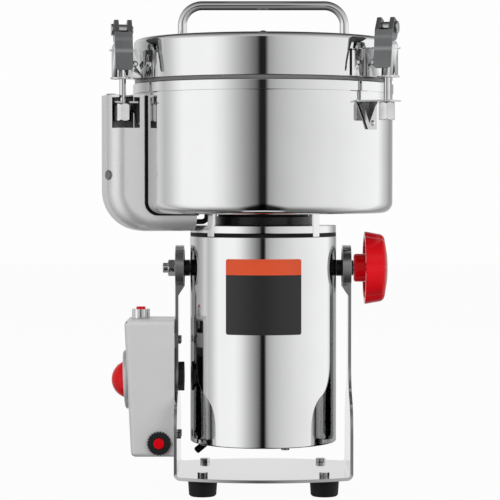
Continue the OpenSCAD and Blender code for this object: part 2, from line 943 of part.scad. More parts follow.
// Strain relief where a supply cord enters at the back of the box
module cord_inlet() {
    color(black) at_inlet() difference() {
        union() {
            up(-2 * box_t) cylinder(r = inlet_r, h = 2 * box_t);
            cylinder(r = inlet_flange_r, h = inlet_flange_t);
            up(inlet_flange_t)
                cylinder(r1 = inlet_r, r2 = inlet_end_r, h = inlet_l - inlet_flange_t);
        }
        up(-3 * box_t) cylinder(r = inlet_bore_r, h = inlet_l + 4 * box_t);
    }
}

// Tilt pivot and lock knob

module at_pivot() {
    up(pivot_z) children();
}

module pivot_stud() {
    end_x = -(stand_half_w + seat_gap + pivot_nut_h + stud_end_l);
    color(steel) at_pivot() translate([end_x, 0, 0]) along_x()
        cylinder(r = stud_r, h = -case_r_in + stud_grip - end_x);
}

module pivot_nut() {
    nut_x = -stand_half_w - seat_gap - pivot_nut_h;
    color(steel) at_pivot() translate([nut_x, 0, 0]) along_x() difference() {
        rotate([0, 0, 30]) hex_nut(pivot_nut_r, pivot_nut_h);
        up(-overrun) cylinder(r = stud_r + run_gap, h = pivot_nut_h + 2 * overrun);
    }
}

// Black spacers that fill the space between the motor and the ears
module pivot_spacers() {
    start = case_r_in - case_t;
    color(black) for (s = [0, 1]) mirror([s, 0, 0]) at_pivot() difference() {
        translate([start, 0, 0]) along_x() ring(spacer_r, stud_r + run_gap, upright_in_x - seat_gap - start);
        up(-spacer_r - overrun)
            cylinder(r = motor_r + seat_gap, h = 2 * (spacer_r + overrun), $fn = 144);
    }
}

module knob_washer() {
    color(black) at_pivot() translate([stand_half_w + seat_gap, 0, 0]) along_x()
        ring(washer_r, stud_r + run_gap, washer_t);
}

module knob_stud() {
    start = case_r_in - stud_grip;
    color(steel) at_pivot() translate([start, 0, 0]) along_x()
        cylinder(r = stud_r, h = knob_skirt_x + knob_web_t - start);
}

// Side profile of the knob: hub, hollow skirt with a lip, taper, rounded rim and shallow cone
module knob_profile() {
    round_r = knob_skirt_l * knob_round_share;
    front_r = knob_r - knob_taper;
    end = knob_hub_l + knob_skirt_l;
    cone_r = front_r - round_r * (1 - sin(knob_cone_a));
    cone_l = end - (cone_r - knob_flat_r) * tan(knob_cone_a);
    rim_l = cone_l - round_r * cos(knob_cone_a);
    difference() {
        union() {
            translate([0, knob_hub_round]) square([knob_hub_r, knob_hub_l]);
            square([knob_hub_r - knob_hub_round, knob_hub_l]);
            translate([knob_hub_r - knob_hub_round, knob_hub_round]) circle(r = knob_hub_round, $fn = 32);
            polygon([[0, knob_hub_l], [knob_r, knob_hub_l], [front_r, rim_l], [front_r - round_r, rim_l],
                [cone_r, cone_l], [knob_flat_r, end], [0, end]]);
            intersection() {
                translate([front_r - round_r, rim_l]) circle(r = round_r);
                translate([front_r - round_r, rim_l]) square(round_r);
            }
        }
        translate([-overrun, -overrun])
            square([stud_r + run_gap + overrun, knob_hub_l + knob_web_t + overrun]);
    }
}

module knob_flutes() {
    for (i = [0 : knob_lobes - 1]) rotate([0, 0, (i + 0.5) * 360 / knob_lobes])
        translate([knob_r + knob_flute_r - knob_flute_d, 0, knob_hub_l - overrun])
            cylinder(r = knob_flute_r, h = knob_skirt_l + 2 * overrun);
}

module lock_knob() {
    color(red) at_pivot() translate([knob_x, 0, 0]) along_x() difference() {
        rotate_extrude() knob_profile();
        knob_flutes();
        up(knob_hub_l - overrun) difference() {
            cylinder(r = knob_r - knob_flute_d - 2 * knob_back_lip, h = knob_web_t + overrun);
            cylinder(r = knob_hub_r + knob_back_lip, h = knob_web_t + overrun);
        }
    }
}

// Motor column

module tab_notches(gap) {
    for (a = tab_angles) rotate([0, 0, a])
        translate([motor_r - tab_t - gap, -tab_w / 2 - gap, cap_low_z - cap_gasket_t - overrun])
            cube([tab_t + 2 * overrun, tab_w + 2 * gap, cap_t + cap_gasket_t + 2 * overrun]);
}

module motor_case() {
    color(bright) difference() {
        union() {
            up(case_low_z) ring(motor_r, case_r_in, case_top_z - case_low_z, $fn = 144);
            for (s = [0, 1]) mirror([s, 0, 0]) at_pivot() intersection() {
                translate([case_r_in - boss_l, 0, 0]) along_x()
                    cylinder(r = boss_r, h = boss_l + case_t / 2);
                up(-boss_r) cylinder(r = motor_r - case_t / 2, h = 2 * boss_r);
            }
        }
        translate([-motor_r - overrun, 0, pivot_z]) along_x()
            cylinder(r = stud_r + run_gap, h = 2 * (motor_r + overrun));
    }
}

module motor_top_cap() {
    color(bright) difference() {
        up(cap_low_z) ring(motor_r - seat_gap, neck_spigot_r + seat_gap, cap_t);
        tab_notches(seat_gap);
    }
}

module cap_gasket() {
    color(black) difference() {
        up(case_top_z) ring(motor_r - seat_gap, case_r_in - boss_l, cap_gasket_t);
        tab_notches(seat_gap);
    }
}

// Four straps that tie the motor case to the bowl
module support_tabs() {
    color(bright) for (a = tab_angles) rotate([0, 0, a]) intersection() {
        translate([motor_r - tab_t, -tab_w / 2, case_top_z + seat_gap])
            cube([tab_t + overrun, tab_w, bowl_low_z - case_top_z - 2 * seat_gap]);
        cylinder(r = motor_r, h = bowl_low_z, $fn = 180);
    }
}

module cover_screw_places() {
    for (i = [0 : 3]) rotate([0, 0, cover_screw_a + i * 90])
        translate([cover_screw_dist, 0, case_low_z + cover_in]) children();
}

module bottom_cover() {
    color(dark) up(case_low_z + cover_in) difference() {
        cylinder(r = case_r_in - seat_gap, h = cover_t);
        for (i = [0 : vent_count - 1]) rotate([0, 0, i * 360 / vent_count])
            translate([vent_in_r, -vent_w / 2, -overrun])
                cube([vent_out_r - vent_in_r, vent_w, cover_t + 2 * overrun]);
        up(-case_low_z - cover_in) cover_screw_places()
            up(-overrun) cylinder(r = cover_screw_r + screw_gap, h = cover_t + 2 * overrun);
        translate([lead_x, 0, -overrun]) cylinder(r = lead_r + screw_gap, h = cover_t + 2 * overrun);
    }
}

// Places of the duct's two screws, their axis pointing out of the duct
module duct_screw_places() {
    at_duct() {
        translate([duct_reach - duct_edge_r, duct_front - duct_edge_r, duct_screw_z])
            rotate([0, 90, duct_screw_a]) up(duct_edge_r) children();
        translate([duct_top_screw_dist, 0, duct_top_z]) children();
    }
}

module case_screws() {
    color(dark) {
        cover_screw_places() {
            up(-cover_head_h) cylinder(r = cover_head_r, h = cover_head_h);
            cylinder(r = cover_screw_r, h = frame_z - case_low_z - cover_in - seat_gap);
        }
        duct_screw_places() {
            cylinder(r = duct_head_r, h = duct_head_h);
            up(-duct_screw_l) cylinder(r = duct_screw_r, h = duct_screw_l);
        }
    }
}

// The sleeve of the motor's supply lead, and the switch lead from the duct's end
module motor_leads() {
    color(black) {
        translate([lead_x, 0, case_low_z + cover_in - lead_collar_l]) {
            cylinder(r = lead_collar_r, h = lead_collar_l);
            cylinder(r = lead_r, h = lead_collar_l + cover_t);
            rotate([0, -180 + lead_tilt, 0]) {
                cylinder(r = lead_r, h = lead_l - lead_end_l);
                up(lead_l - lead_end_l)
                    cylinder(r1 = lead_r, r2 = lead_r - lead_end_l, h = lead_end_l);
            }
        }
        at_duct() translate([0, switch_lead_side, switch_lead_z]) {
            translate([switch_lead_dist + switch_lead_bend, 0, 0]) along_x()
                cylinder(r = switch_lead_r,
                    h = duct_end_dist + 3 * duct_t - switch_lead_dist - switch_lead_bend);
            translate([switch_lead_dist + switch_lead_bend, 0, switch_lead_bend]) rotate([90, 0, 0])
                rotate([0, 0, 180]) rotate_extrude(angle = 90) translate([switch_lead_bend, 0])
                    circle(r = switch_lead_r);
            translate([switch_lead_dist, 0, switch_lead_bend])
                cylinder(r = switch_lead_r, h = bowl_low_z - seat_gap - switch_lead_z - switch_lead_bend);
        }
    }
}

// Laminated stator core with two wound field coils
module stator() {
    bore = armature_r + air_gap;
    color(dark) up(core_low_z) difference() {
        cylinder(r = case_r_in - seat_gap, h = core_l);
        up(-overrun) cylinder(r = bore, h = core_l + 2 * overrun);
        for (s = [0, 180]) rotate([0, 0, s]) {
            coil_slot(coil_a);
            coil_slot(-coil_a);
        }
        for (i = [0 : 3]) rotate([0, 0, 45 + i * 90])
            translate([case_r_in, 0, -overrun]) cylinder(r = boss_l / 2, h = core_l + 2 * overrun);
    }
    color(copper) for (s = [0, 180]) rotate([0, 0, s]) difference() {
        up(core_low_z - seat_gap - coil_h)
            ring_sector(coil_r_in + coil_t, coil_r_in, core_l + 2 * (seat_gap + coil_h),
                -coil_a - coil_leg_a, coil_a + coil_leg_a);
        up(core_low_z - seat_gap)
            ring_sector(coil_r_in + coil_t + overrun, coil_r_in - overrun, core_l + 2 * seat_gap,
                -coil_a + coil_leg_a, coil_a - coil_leg_a);
    }
}

module coil_slot(a) {
    up(-overrun) ring_sector(coil_r_in + coil_t + seat_gap, armature_r, core_l + 2 * overrun,
        a - coil_leg_a - coil_gap_a, a + coil_leg_a + coil_gap_a);
}

// Cast end frame: lower bearing seat, arms and the posts of the brush holders
module end_frame() {
    color("#9a9da0") difference() {
        union() {
            up(frame_z) cylinder(r = case_r_in - seat_gap, h = frame_t);
            up(frame_z) cylinder(r = frame_hub_r, h = frame_hub_h);
            for (s = [0, 180]) rotate([0, 0, s])
                translate([commutator_r + seat_gap + holder_wall, -holder_post_w / 2, frame_z])
                    cube([brush_l, holder_post_w, brush_z - brush_h / 2 - holder_wall - seat_gap - frame_z]);
        }
        up(frame_z + frame_hub_h - bearing_w)
            cylinder(r = bearing_r + run_gap, h = bearing_w + overrun);
        up(frame_z - overrun) cylinder(r = shaft_r + 2 * air_gap, h = frame_hub_h);
        for (i = [0 : 3]) rotate([0, 0, 45 + i * 90])
            translate([frame_window_dist, 0, frame_z - overrun])
                cylinder(r = frame_window_r, h = frame_t + 2 * overrun);
    }
}

// Two brush holders, each with its carbon brush on the commutator
module brush_gear() {
    for (s = [0, 180]) rotate([0, 0, s]) translate([commutator_r + seat_gap, 0, brush_z]) {
        color(copper) difference() {
            translate([holder_wall, -brush_w / 2 - holder_wall, -brush_h / 2 - holder_wall])
                cube([brush_l, brush_w + 2 * holder_wall, brush_h + 2 * holder_wall]);
            translate([0, -brush_w / 2 - screw_gap, -brush_h / 2 - screw_gap])
                cube([brush_l + holder_wall + overrun, brush_w + 2 * screw_gap, brush_h + 2 * screw_gap]);
        }
        color(black) translate([0, -brush_w / 2, -brush_h / 2]) cube([brush_l, brush_w, brush_h]);
    }
}

module ball_bearings() {
    color(steel) for (z = [frame_z + frame_hub_h - bearing_w, cap_low_z + screw_gap])
        up(z) ring(bearing_r, shaft_r + run_gap, bearing_w);
}

module neck_housing() {
    color(black) difference() {
        union() {
            up(cap_low_z) cylinder(r = neck_spigot_r, h = cap_t + overrun);
            up(cap_top_z) cylinder(r = neck_r, h = neck_h);
        }
        up(cap_low_z - overrun)
            cylinder(r = bearing_r + run_gap, h = bearing_w + overrun + 2 * screw_gap);
        up(cap_low_z)
            cylinder(r = shaft_r + 2 * air_gap, h = cap_t + neck_h + overrun);
    }
}

// Flat gasket under the bowl and the lip seal around the shaft
module neck_seals() {
    color(black) {
        up(neck_top_z) {
            ring(neck_r - neck_gasket_in, seal_r + seat_gap, neck_gasket_t);
            ring(seal_r, shaft_r + seat_gap, neck_gasket_t + bowl_floor_t + seal_rise);
        }
    }
}

// Rotor: shaft, armature, fan and blades

module motor_shaft() {
    color(steel) {
        up(shaft_low_z) cylinder(r = shaft_r, h = collar_z - shaft_low_z + overrun);
        up(collar_z) cylinder(r = shaft_collar_r, h = shaft_collar_h);
        up(collar_z)
            cylinder(r = thread_r, h = upper_blade_z + blade_t + blade_nut_h + 2 * overrun - collar_z);
    }
}

module armature() {
    slots = 12;
    color(dark) up(core_low_z) difference() {
        cylinder(r = armature_r, h = core_l);
        up(-overrun) cylinder(r = shaft_r + run_gap, h = core_l + 2 * overrun);
        for (i = [0 : slots - 1]) rotate([0, 0, i * 360 / slots])
            translate([armature_r, 0, -overrun]) cylinder(r = fan_blade_t, h = core_l + 2 * overrun);
    }
    color(copper) {
        for (z = [core_low_z - coil_h + air_gap, core_top_z])
            up(z) ring(armature_r - 2 * air_gap, shaft_r + run_gap, coil_h - air_gap);
    }
    color(copper) up(commutator_low_z)
        ring(commutator_r, shaft_r + run_gap, commutator_h - 3 * air_gap);
}

module cooling_fan() {
    color(dark) up(fan_low_z) difference() {
        union() {
            cylinder(r = fan_r, h = fan_plate_t);
            cylinder(r = fan_hub_r, h = fan_h);
            for (i = [0 : fan_blades - 1]) rotate([0, 0, i * 360 / fan_blades])
                translate([fan_hub_r - fan_blade_t, -fan_blade_t / 2, fan_plate_t / 2])
                    cube([fan_r - fan_hub_r - fan_plate_t, fan_blade_t, fan_h - fan_plate_t]);
        }
        up(-overrun) cylinder(r = shaft_r + run_gap, h = fan_h + 2 * overrun);
    }
}

// One swept blade arm: wide at the hub and narrow at its end
module blade_arm(reach, w) {
    root = w * blade_root_share / 2;
    end = w * blade_end_share;
    polygon([[0, -root], [reach / 2, -root], [reach, blade_sweep / 2],
        [reach, blade_sweep / 2 + end], [reach / 2, root], [0, root]]);
}

module blade_plate(reach, w) {
    linear_extrude(blade_t) {
        blade_arm(reach, w);
        rotate([0, 0, 180]) blade_arm(reach, w);
        circle(r = blade_hub_r);
    }
}

// Long lower blade with its tips turned up
module lower_blade() {
    color(bright) up(lower_blade_z) difference() {
        union() {
            blade_plate(lower_blade_reach, lower_blade_w);
            for (s = [0, 180]) rotate([0, 0, s])
                translate([lower_blade_reach - blade_t, blade_sweep / 2, 0])
                    cube([blade_t, lower_blade_w * blade_end_share, blade_tip_h]);
        }
        up(-overrun) cylinder(r = thread_r + run_gap, h = blade_t + 2 * overrun);
    }
}

// Short upper blade on its tubular spacer
module upper_blade() {
    color(bright) up(upper_blade_z) difference() {
        union() {
            rotate([0, 0, 90]) blade_plate(upper_blade_reach, lower_blade_w);
            up(-upper_blade_lift) cylinder(r = blade_hub_r, h = upper_blade_lift);
        }
        up(-upper_blade_lift - overrun)
            cylinder(r = thread_r + run_gap, h = upper_blade_lift + blade_t + 2 * overrun);
    }
}

module blade_nut() {
    color(steel) up(upper_blade_z + blade_t) difference() {
        cylinder(r = blade_nut_af / 2 / cos(30), h = blade_nut_h, $fn = 6);
        up(-overrun) cylinder(r = thread_r + run_gap, h = blade_nut_h + 2 * overrun);
    }
}

// Bowl and what is fixed to it

module bowl() {
    color(bright) difference() {
        union() {
            up(bowl_low_z) round_bottom(bowl_r, bowl_h, bowl_corner_r, $fn = 160);
            up(bowl_top_z - collar_h)
                cylinder(r = bowl_r + collar_out, h = collar_h, $fn = 160);
        }
        up(bowl_floor_z) round_bottom(bowl_r_in, bowl_h, bowl_corner_r - bowl_t, $fn = 160);
        up(bowl_low_z - overrun)
            cylinder(r = seal_r + seat_gap, h = bowl_floor_t + 2 * overrun);
        each_clamp() at_rivet() up(-bowl_t - fork_t - 2 * overrun)
            cylinder(r = rivet_r + screw_gap, h = bowl_t + fork_t + 2 * overrun);
    }
}

// Centre of a fork's rivet on the outside of its tongue, axis pointing out
module at_rivet() {
    rotate([0, 0, (fork_open_w - tongue_low_w) / 2 / bowl_r * 180 / PI])
        translate([bowl_r + wall_gap + fork_t, 0, fork_z - fork_tongue_h + rivet_rise]) along_x() children();
}

// Fork: slotted plate above the long nut, tongue on the bowl wall, stiffening web
module fork_bracket() {
    wall_r = bowl_r + wall_gap;
    difference() {
        union() {
            intersection() {
                up(fork_z) linear_extrude(fork_t)
                    polygon([[0, -fork_back_w], [bowl_r + collar_out, -fork_back_w],
                        [clamp_dist + fork_out, -fork_tip_w],
                        [clamp_dist + fork_out, fork_open_w], [0, fork_open_w]]);
                up(fork_z - overrun)
                    cylinder(r = clamp_dist + 2 * fork_out, h = fork_t + 2 * overrun);
            }
            intersection() {
                up(fork_z - fork_tongue_h)
                    ring(wall_r + fork_t, wall_r, fork_tongue_h + fork_t / 2, $fn = 160);
                rotate([90, 0, 90]) linear_extrude(wall_r + 2 * fork_t)
                    polygon([[-fork_back_w, fork_z + fork_t], [-tongue_low_w, fork_z - fork_tongue_h],
                        [fork_open_w, fork_z - fork_tongue_h], [fork_open_w, fork_z + fork_t]]);
            }
            translate([0, web_side + web_t / 2, 0]) rotate([90, 0, 0]) linear_extrude(web_t)
                polygon([[wall_r, fork_z - web_h], [wall_r + fork_t, fork_z - web_h],
                    [wall_r + web_reach, fork_z + fork_t / 2], [wall_r, fork_z + fork_t / 2]]);
        }
        up(fork_z - fork_tongue_h - overrun)
            cylinder(r = wall_r, h = fork_tongue_h + fork_t + 2 * overrun, $fn = 160);
        translate([clamp_dist, 0, fork_z - overrun]) {
            cylinder(r = rod_r + slot_gap, h = fork_t + 2 * overrun);
            translate([-rod_r - slot_gap, 0, 0])
                cube([2 * (rod_r + slot_gap), fork_open_w + overrun, fork_t + 2 * overrun]);
        }
        at_rivet() up(-2 * fork_t) cylinder(r = rivet_r + screw_gap, h = 3 * fork_t);
    }
}

module fork_brackets() {
    color(bright) each_clamp() fork_bracket();
}

module fork_rivets() {
    color(steel) each_clamp() at_rivet() {
        up(-fork_t - wall_gap - bowl_t)
            cylinder(r = rivet_r, h = fork_t + wall_gap + bowl_t + overrun);
        cylinder(r1 = rivet_head_r, r2 = rivet_head_r / 2, h = rivet_head_h);
    }
}

module at_duct() {
    rotate([0, 0, duct_a]) children();
}

// Section of the duct: distance outwards from the centre of its sweep, and side to side
module duct_section(inset) {
    e = duct_bend_r - inset;
    r = duct_edge_r - inset;
    lo = -duct_back + inset;
    hi = duct_front - inset;
    translate([0, lo]) square([e - r, hi - lo]);
    translate([0, lo + r]) square([e, hi - lo - 2 * r]);
    for (s = [lo + r, hi - r]) intersection() {
        translate([e - r, s]) circle(r = r);
        translate([0, lo]) square([e, hi - lo]);
    }
}

// The duct's solid form: upright leg, quarter sweep and lower run
module duct_form(inset) {
    core = duct_reach - duct_bend_r;
    core_z = duct_low_z + duct_bend_r;
    translate([core, 0, core_z]) linear_extrude(duct_top_z - inset - core_z) duct_section(inset);
    translate([core, 0, core_z]) rotate([-90, 0, 0]) rotate_extrude(angle = 90) duct_section(inset);
    translate([core, 0, core_z]) rotate([0, 90, 180])
        mirror([0, 1, 0]) linear_extrude(core - duct_end_dist - inset) duct_section(inset);
}

module wiring_duct() {
    color(satin) difference() {
        at_duct() difference() {
            duct_form(0);
            duct_form(duct_t);
            translate([window_in, 0, window_low_z])
                cube([window_out - window_in, duct_front + overrun, window_top_z - window_low_z]);
            translate([rod_slot_in, rod_slot_back, window_top_z - overrun])
                cube([rod_slot_out - rod_slot_in, duct_front, duct_top_z - window_top_z + 2 * overrun]);
            translate([0, switch_lead_side, switch_lead_z]) along_x()
                cylinder(r = switch_lead_r + screw_gap, h = duct_end_dist + 2 * duct_t);
        }
        up(bowl_low_z - seat_gap)
            round_bottom(bowl_r + seat_gap, bowl_h, bowl_corner_r + seat_gap, $fn = 160);
        duct_screw_places() up(-duct_screw_l)
            cylinder(r = duct_screw_r + screw_gap, h = duct_screw_l + overrun);
    }
}

// Switch seated on the inside of the duct's outer wall
module interlock_switch() {
    color(black) difference() {
        at_duct() translate([duct_reach - duct_t - seat_gap - switch_w, switch_side - switch_l,
            long_nut_top_z - switch_h]) cube([switch_w, switch_l, switch_h]);
        at_clamp(clamp_left_a) plunger_body(plunger_r + run_gap, button_travel + overrun);
    }
}

// Plunger from its tip beside the long nut, with extra length at its back
module plunger_body(r, extra) {
    translate([clamp_dist, -long_nut_af / 2 - seat_gap, long_nut_top_z - switch_h / 2]) rotate([90, 0, 0])
        cylinder(r = r, h = plunger_l + extra);
}

module interlock_plunger() {
    color(red) at_clamp(clamp_left_a) plunger_body(plunger_r, 0);
}

module label_plate() {
    r_in = motor_r + seat_gap;
    color("#2a2a2a") intersection() {
        up(label_low_z) ring(r_in + label_t, r_in, label_h, $fn = 144);
        rotate([90, 0, 0]) linear_extrude(motor_r + 2 * overrun) union() {
            c = label_corner_r;
            translate([-label_half_w, label_low_z + c]) square([2 * label_half_w, label_h - 2 * c]);
            translate([-label_half_w + c, label_low_z]) square([2 * (label_half_w - c), label_h]);
            for (sx = [-1, 1], z = [label_low_z + c, label_low_z + label_h - c])
                translate([sx * (label_half_w - c), z]) circle(r = c, $fn = 24);
        }
    }
}

// Lid

module lid_form(inset) {
    r = bowl_r - inset;
    up(lid_top_z - inset) mirror([0, 0, 1])
        round_bottom(r, lid_h - inset + (inset > 0 ? overrun : 0), lid_edge_r - inset, $fn = 160);
}

module lid_shell() {
    color(bright) difference() {
        lid_form(0);
        lid_form(lid_t);
        each_clamp() flange_bolt_places() up(-2 * (lid_t + lug_t))
            cylinder(r = flange_bolt_r + screw_gap, h = 3 * (lid_t + lug_t));
        up(lid_top_z - lid_t - overrun)
            cylinder(r = foot_bolt_r + screw_gap, h = lid_t + 2 * overrun);
    }
}

module lid_seal() {
    color(black) up(bowl_top_z)
        ring(bowl_r - seal_in, bowl_r - seal_in - seal_ring_w, lid_seal_t, $fn = 160);
}

module handle_half() {
    leg_x = handle_half_span - handle_rod_r;
    bar_z = handle_top_z - handle_rod_r;
    translate([leg_x, 0, lid_top_z]) cylinder(r = handle_rod_r, h = bar_z - handle_bend_r - lid_top_z);
    translate([leg_x, 0, lid_top_z]) cylinder(r = handle_foot_r, h = handle_foot_t);
    translate([leg_x - handle_bend_r, 0, bar_z - handle_bend_r]) rotate([90, 0, 0])
        rotate_extrude(angle = 90) translate([handle_bend_r, 0]) circle(r = handle_rod_r, $fn = 32);
    up(bar_z) along_x() cylinder(r = handle_rod_r, h = leg_x - handle_bend_r, $fn = 32);
}

module lid_handle() {
    color(bright) {
        handle_half();
        mirror([1, 0, 0]) handle_half();
    }
}

// Bolts of a lug's two flanges, axis pointing out of the lid
module flange_bolt_places() {
    for (s = [-1, 1]) rotate([0, 0, s * flange_bolt_a])
        translate([bowl_r + wall_gap + lug_t, 0, (lug_low_z + lug_top_z) / 2]) along_x() children();
}

module lug_plan(inset) {
    r = lug_nose_r - inset;
    translate([clamp_dist, 0]) circle(r = r);
    translate([bowl_r - 2 * overrun, -r]) square([clamp_dist - bowl_r + 2 * overrun, 2 * r]);
}

module lug_plate(over) {
    linear_extrude(lug_plate_t) {
        translate([clamp_dist, 0]) circle(r = lug_nose_r + over);
        translate([bowl_r - 2 * overrun, -lug_nose_r]) square([clamp_dist - bowl_r, 2 * lug_nose_r]);
    }
}

// U-shaped lug on the lid with its plates, and the domed seat of the cam
module clamp_lug() {
    difference() {
        union() {
            up(lug_low_z) linear_extrude(lug_h) difference() {
                lug_plan(0);
                lug_plan(lug_t);
            }
            up(lug_top_z) lug_plate(plate_over);
            up(lug_low_z - lug_plate_t) lug_plate(low_plate_over);
            for (s = [0, 1]) mirror([0, s, 0]) up(lug_low_z)
                ring_sector(bowl_r + wall_gap + lug_t, bowl_r + wall_gap, lug_h, flange_in_a, flange_out_a);
            translate([clamp_dist, 0, seat_low_z]) rotate_extrude() {
                square([seat_foot_r, seat_h / 3]);
                polygon([[0, 0], [seat_foot_r, seat_h / 3], [seat_flat_r, seat_h - seat_round_r],
                    [seat_flat_r - seat_round_r, seat_h], [0, seat_h]]);
                translate([seat_flat_r - seat_round_r, seat_h - seat_round_r])
                    circle(r = seat_round_r, $fn = 32);
            }
        }
        up(lug_low_z - lug_plate_t - overrun)
            cylinder(r = bowl_r + wall_gap, h = lug_h + 2 * lug_plate_t + 2 * overrun, $fn = 160);
        translate([clamp_dist, 0, lug_low_z - lug_plate_t - overrun])
            cylinder(r = rod_r + rod_hole_gap, h = seat_top_z - lug_low_z + lug_plate_t + 2 * overrun);
        flange_bolt_places() up(-2 * lug_t)
            cylinder(r = flange_bolt_r + screw_gap, h = 3 * lug_t);
        translate([cross_pin_dist, 0, (lug_low_z + lug_top_z) / 2]) rotate([90, 0, 0])
            up(-2 * lug_nose_r) cylinder(r = cross_pin_r + screw_gap, h = 4 * lug_nose_r);
    }
}

module clamp_lugs() {
    color(bright) each_clamp() clamp_lug();
}

// Flange bolts and cross pins of the lugs, and the nut in the middle of the lid
module lid_fasteners() {
    color(steel) {
        each_clamp() {
            flange_bolt_places() {
                up(-lug_t - wall_gap - lid_t)
                    cylinder(r = flange_bolt_r, h = lug_t + wall_gap + lid_t + overrun);
                cylinder(r1 = flange_head_r, r2 = flange_head_r * 2 / 3, h = flange_head_h);
            }
            translate([cross_pin_dist, 0, (lug_low_z + lug_top_z) / 2]) rotate([90, 0, 0]) {
                up(-lug_nose_r) cylinder(r = cross_pin_r, h = 2 * lug_nose_r);
                for (s = [0, 1]) mirror([0, 0, s]) up(lug_nose_r)
                    cylinder(r1 = cross_head_r, r2 = cross_head_r / 2, h = cross_head_t);
            }
        }
        up(lid_top_z) {
            cylinder(r = mid_washer_r, h = mid_washer_t);
            cylinder(r = mid_nut_r, h = mid_nut_h - mid_nut_r / 2);
            up(mid_nut_h - mid_nut_r) intersection() {
                sphere(r = mid_nut_r);
                cylinder(r = mid_nut_r + overrun, h = mid_nut_r + overrun);
            }
            up(-2 * lid_t) cylinder(r = foot_bolt_r, h = 3 * lid_t);
        }
    }
}

// Place of a lever's pin, turned about the draw rod
module at_lever(a, turn) {
    at_clamp(a) translate([clamp_dist, 0, pin_z]) rotate([0, 0, turn]) children();
}

// Draw rod with its eye and the long nut
module draw_rod(a, turn) {
    color(steel) difference() {
        union() {
            at_clamp(a) translate([clamp_dist, 0, long_nut_low_z]) {
                hex_nut(long_nut_r, long_nut_h);
                cylinder(r = rod_r, h = pin_z - long_nut_low_z);
            }
            at_lever(a, turn) translate([-eye_w / 2, 0, 0]) along_x() cylinder(r = eye_r, h = eye_w);
        }
        at_lever(a, turn) translate([-eye_w, 0, 0]) along_x() cylinder(r = pin_r + run_gap, h = 2 * eye_w);
    }
}

// Pin of a lever, with a broad head outwards
module lever_pin(a, turn) {
    half = lever_w / 2 + seat_gap;
    color(steel) at_lever(a, turn) {
        translate([-half, 0, 0]) along_x() cylinder(r = pin_r, h = 2 * half);
        translate([half, 0, 0]) along_x() cylinder(r = pin_head_r, h = pin_head_t);
        translate([-half - pin_tail_t, 0, 0]) along_x() cylinder(r = pin_tail_r, h = pin_tail_t);
    }
}

// Radius of the cam at a turn past its shut point: it falls evenly, so the rod drops evenly
function cam_radius(turn) = cam_r - cam_drop * turn / lever_turn;

// Side view of a lever's ear about its pin: sideways, and up
function ear_points() = concat(
    [for (i = [0 : cam_steps]) let (t = lever_turn * i / cam_steps)
        [-cam_radius(t) * sin(t), -cam_radius(t) * cos(t)]],
    [[lever_ear_run, lever_ear_top], lever_line(lever_t)[0], lever_line(lever_t)[1],
        lever_line(0)[1], [lever_in, -cam_r]]);

// Side view of one face of a lever's blade, which leans out in three bends
function lever_line(out) =
    [for (s = lever_bend_shares) [lever_in + out + s[1] * lever_lean, -s[0] * lever_l]];

module lever_blade_side() {
    front = lever_line(lever_t);
    polygon(concat(lever_line(0), [for (i = [len(front) - 1 : -1 : 0]) front[i]]));
}

// Front view of the lever's blade, with rounded lower corners
module lever_blade_front() {
    half = lever_w / 2;
    translate([-half, -lever_l + lever_tip_r]) square([lever_w, lever_l]);
    translate([-half + lever_tip_r, -lever_l]) square([lever_w - 2 * lever_tip_r, lever_l]);
    for (s = [-1, 1])
        translate([s * (half - lever_tip_r), -lever_l + lever_tip_r]) circle(r = lever_tip_r, $fn = 32);
}

// Lever of one clamp; side is 1 where it hangs counterclockwise of its rod
module clamp_lever(a, turn, side) {
    half = lever_w / 2;
    ear_t = half - ear_gap / 2;
    color(dark) at_lever(a, turn) mirror([0, side < 0 ? 1 : 0, 0]) difference() {
        union() {
            for (x = [-half, half - ear_t]) translate([x, 0, 0]) rotate([90, 0, 90])
                linear_extrude(ear_t) polygon(ear_points());
            intersection() {
                translate([-half, 0, 0]) rotate([90, 0, 90]) linear_extrude(lever_w) lever_blade_side();
                translate([0, 3 * lever_in, 0]) rotate([90, 0, 0])
                    linear_extrude(3 * lever_in) lever_blade_front();
            }
        }
        translate([-lever_w, 0, 0]) along_x() cylinder(r = pin_r + run_gap, h = 2 * lever_w);
    }
}

stand_frame();
rubber_feet();
foot_bolts();
control_box();
box_screws();
timer_bezel();
timer_case();
timer_knob();
start_switch();
start_button();
circuit_breaker();
reset_button();
cable_gland();
cord_inlet();
lock_knob();
knob_stud();
knob_washer();
pivot_stud();
pivot_nut();
pivot_spacers();
motor_case();
motor_top_cap();
cap_gasket();
bottom_cover();
case_screws();
motor_leads();
stator();
end_frame();
brush_gear();
ball_bearings();
neck_housing();
neck_seals();
support_tabs();
motor_shaft();
armature();
cooling_fan();
lower_blade();
upper_blade();
blade_nut();
bowl();
fork_brackets();
fork_rivets();
wiring_duct();
interlock_switch();
interlock_plunger();
label_plate();
lid_shell();
lid_handle();
lid_seal();
clamp_lugs();
lid_fasteners();
draw_rod(clamp_left_a, lever_left_turn);  // draw_rod_left
draw_rod(clamp_right_a, lever_right_turn);  // draw_rod_right
draw_rod(clamp_back_a, lever_back_turn);  // draw_rod_back
lever_pin(clamp_left_a, lever_left_turn);  // lever_pin_left
lever_pin(clamp_right_a, lever_right_turn);  // lever_pin_right
lever_pin(clamp_back_a, lever_back_turn);  // lever_pin_back
clamp_lever(clamp_left_a, lever_left_turn, 1);  // clamp_lever_left
clamp_lever(clamp_right_a, lever_right_turn, -1);  // clamp_lever_right
clamp_lever(clamp_back_a, lever_back_turn, 1);  // clamp_lever_back
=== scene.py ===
import math

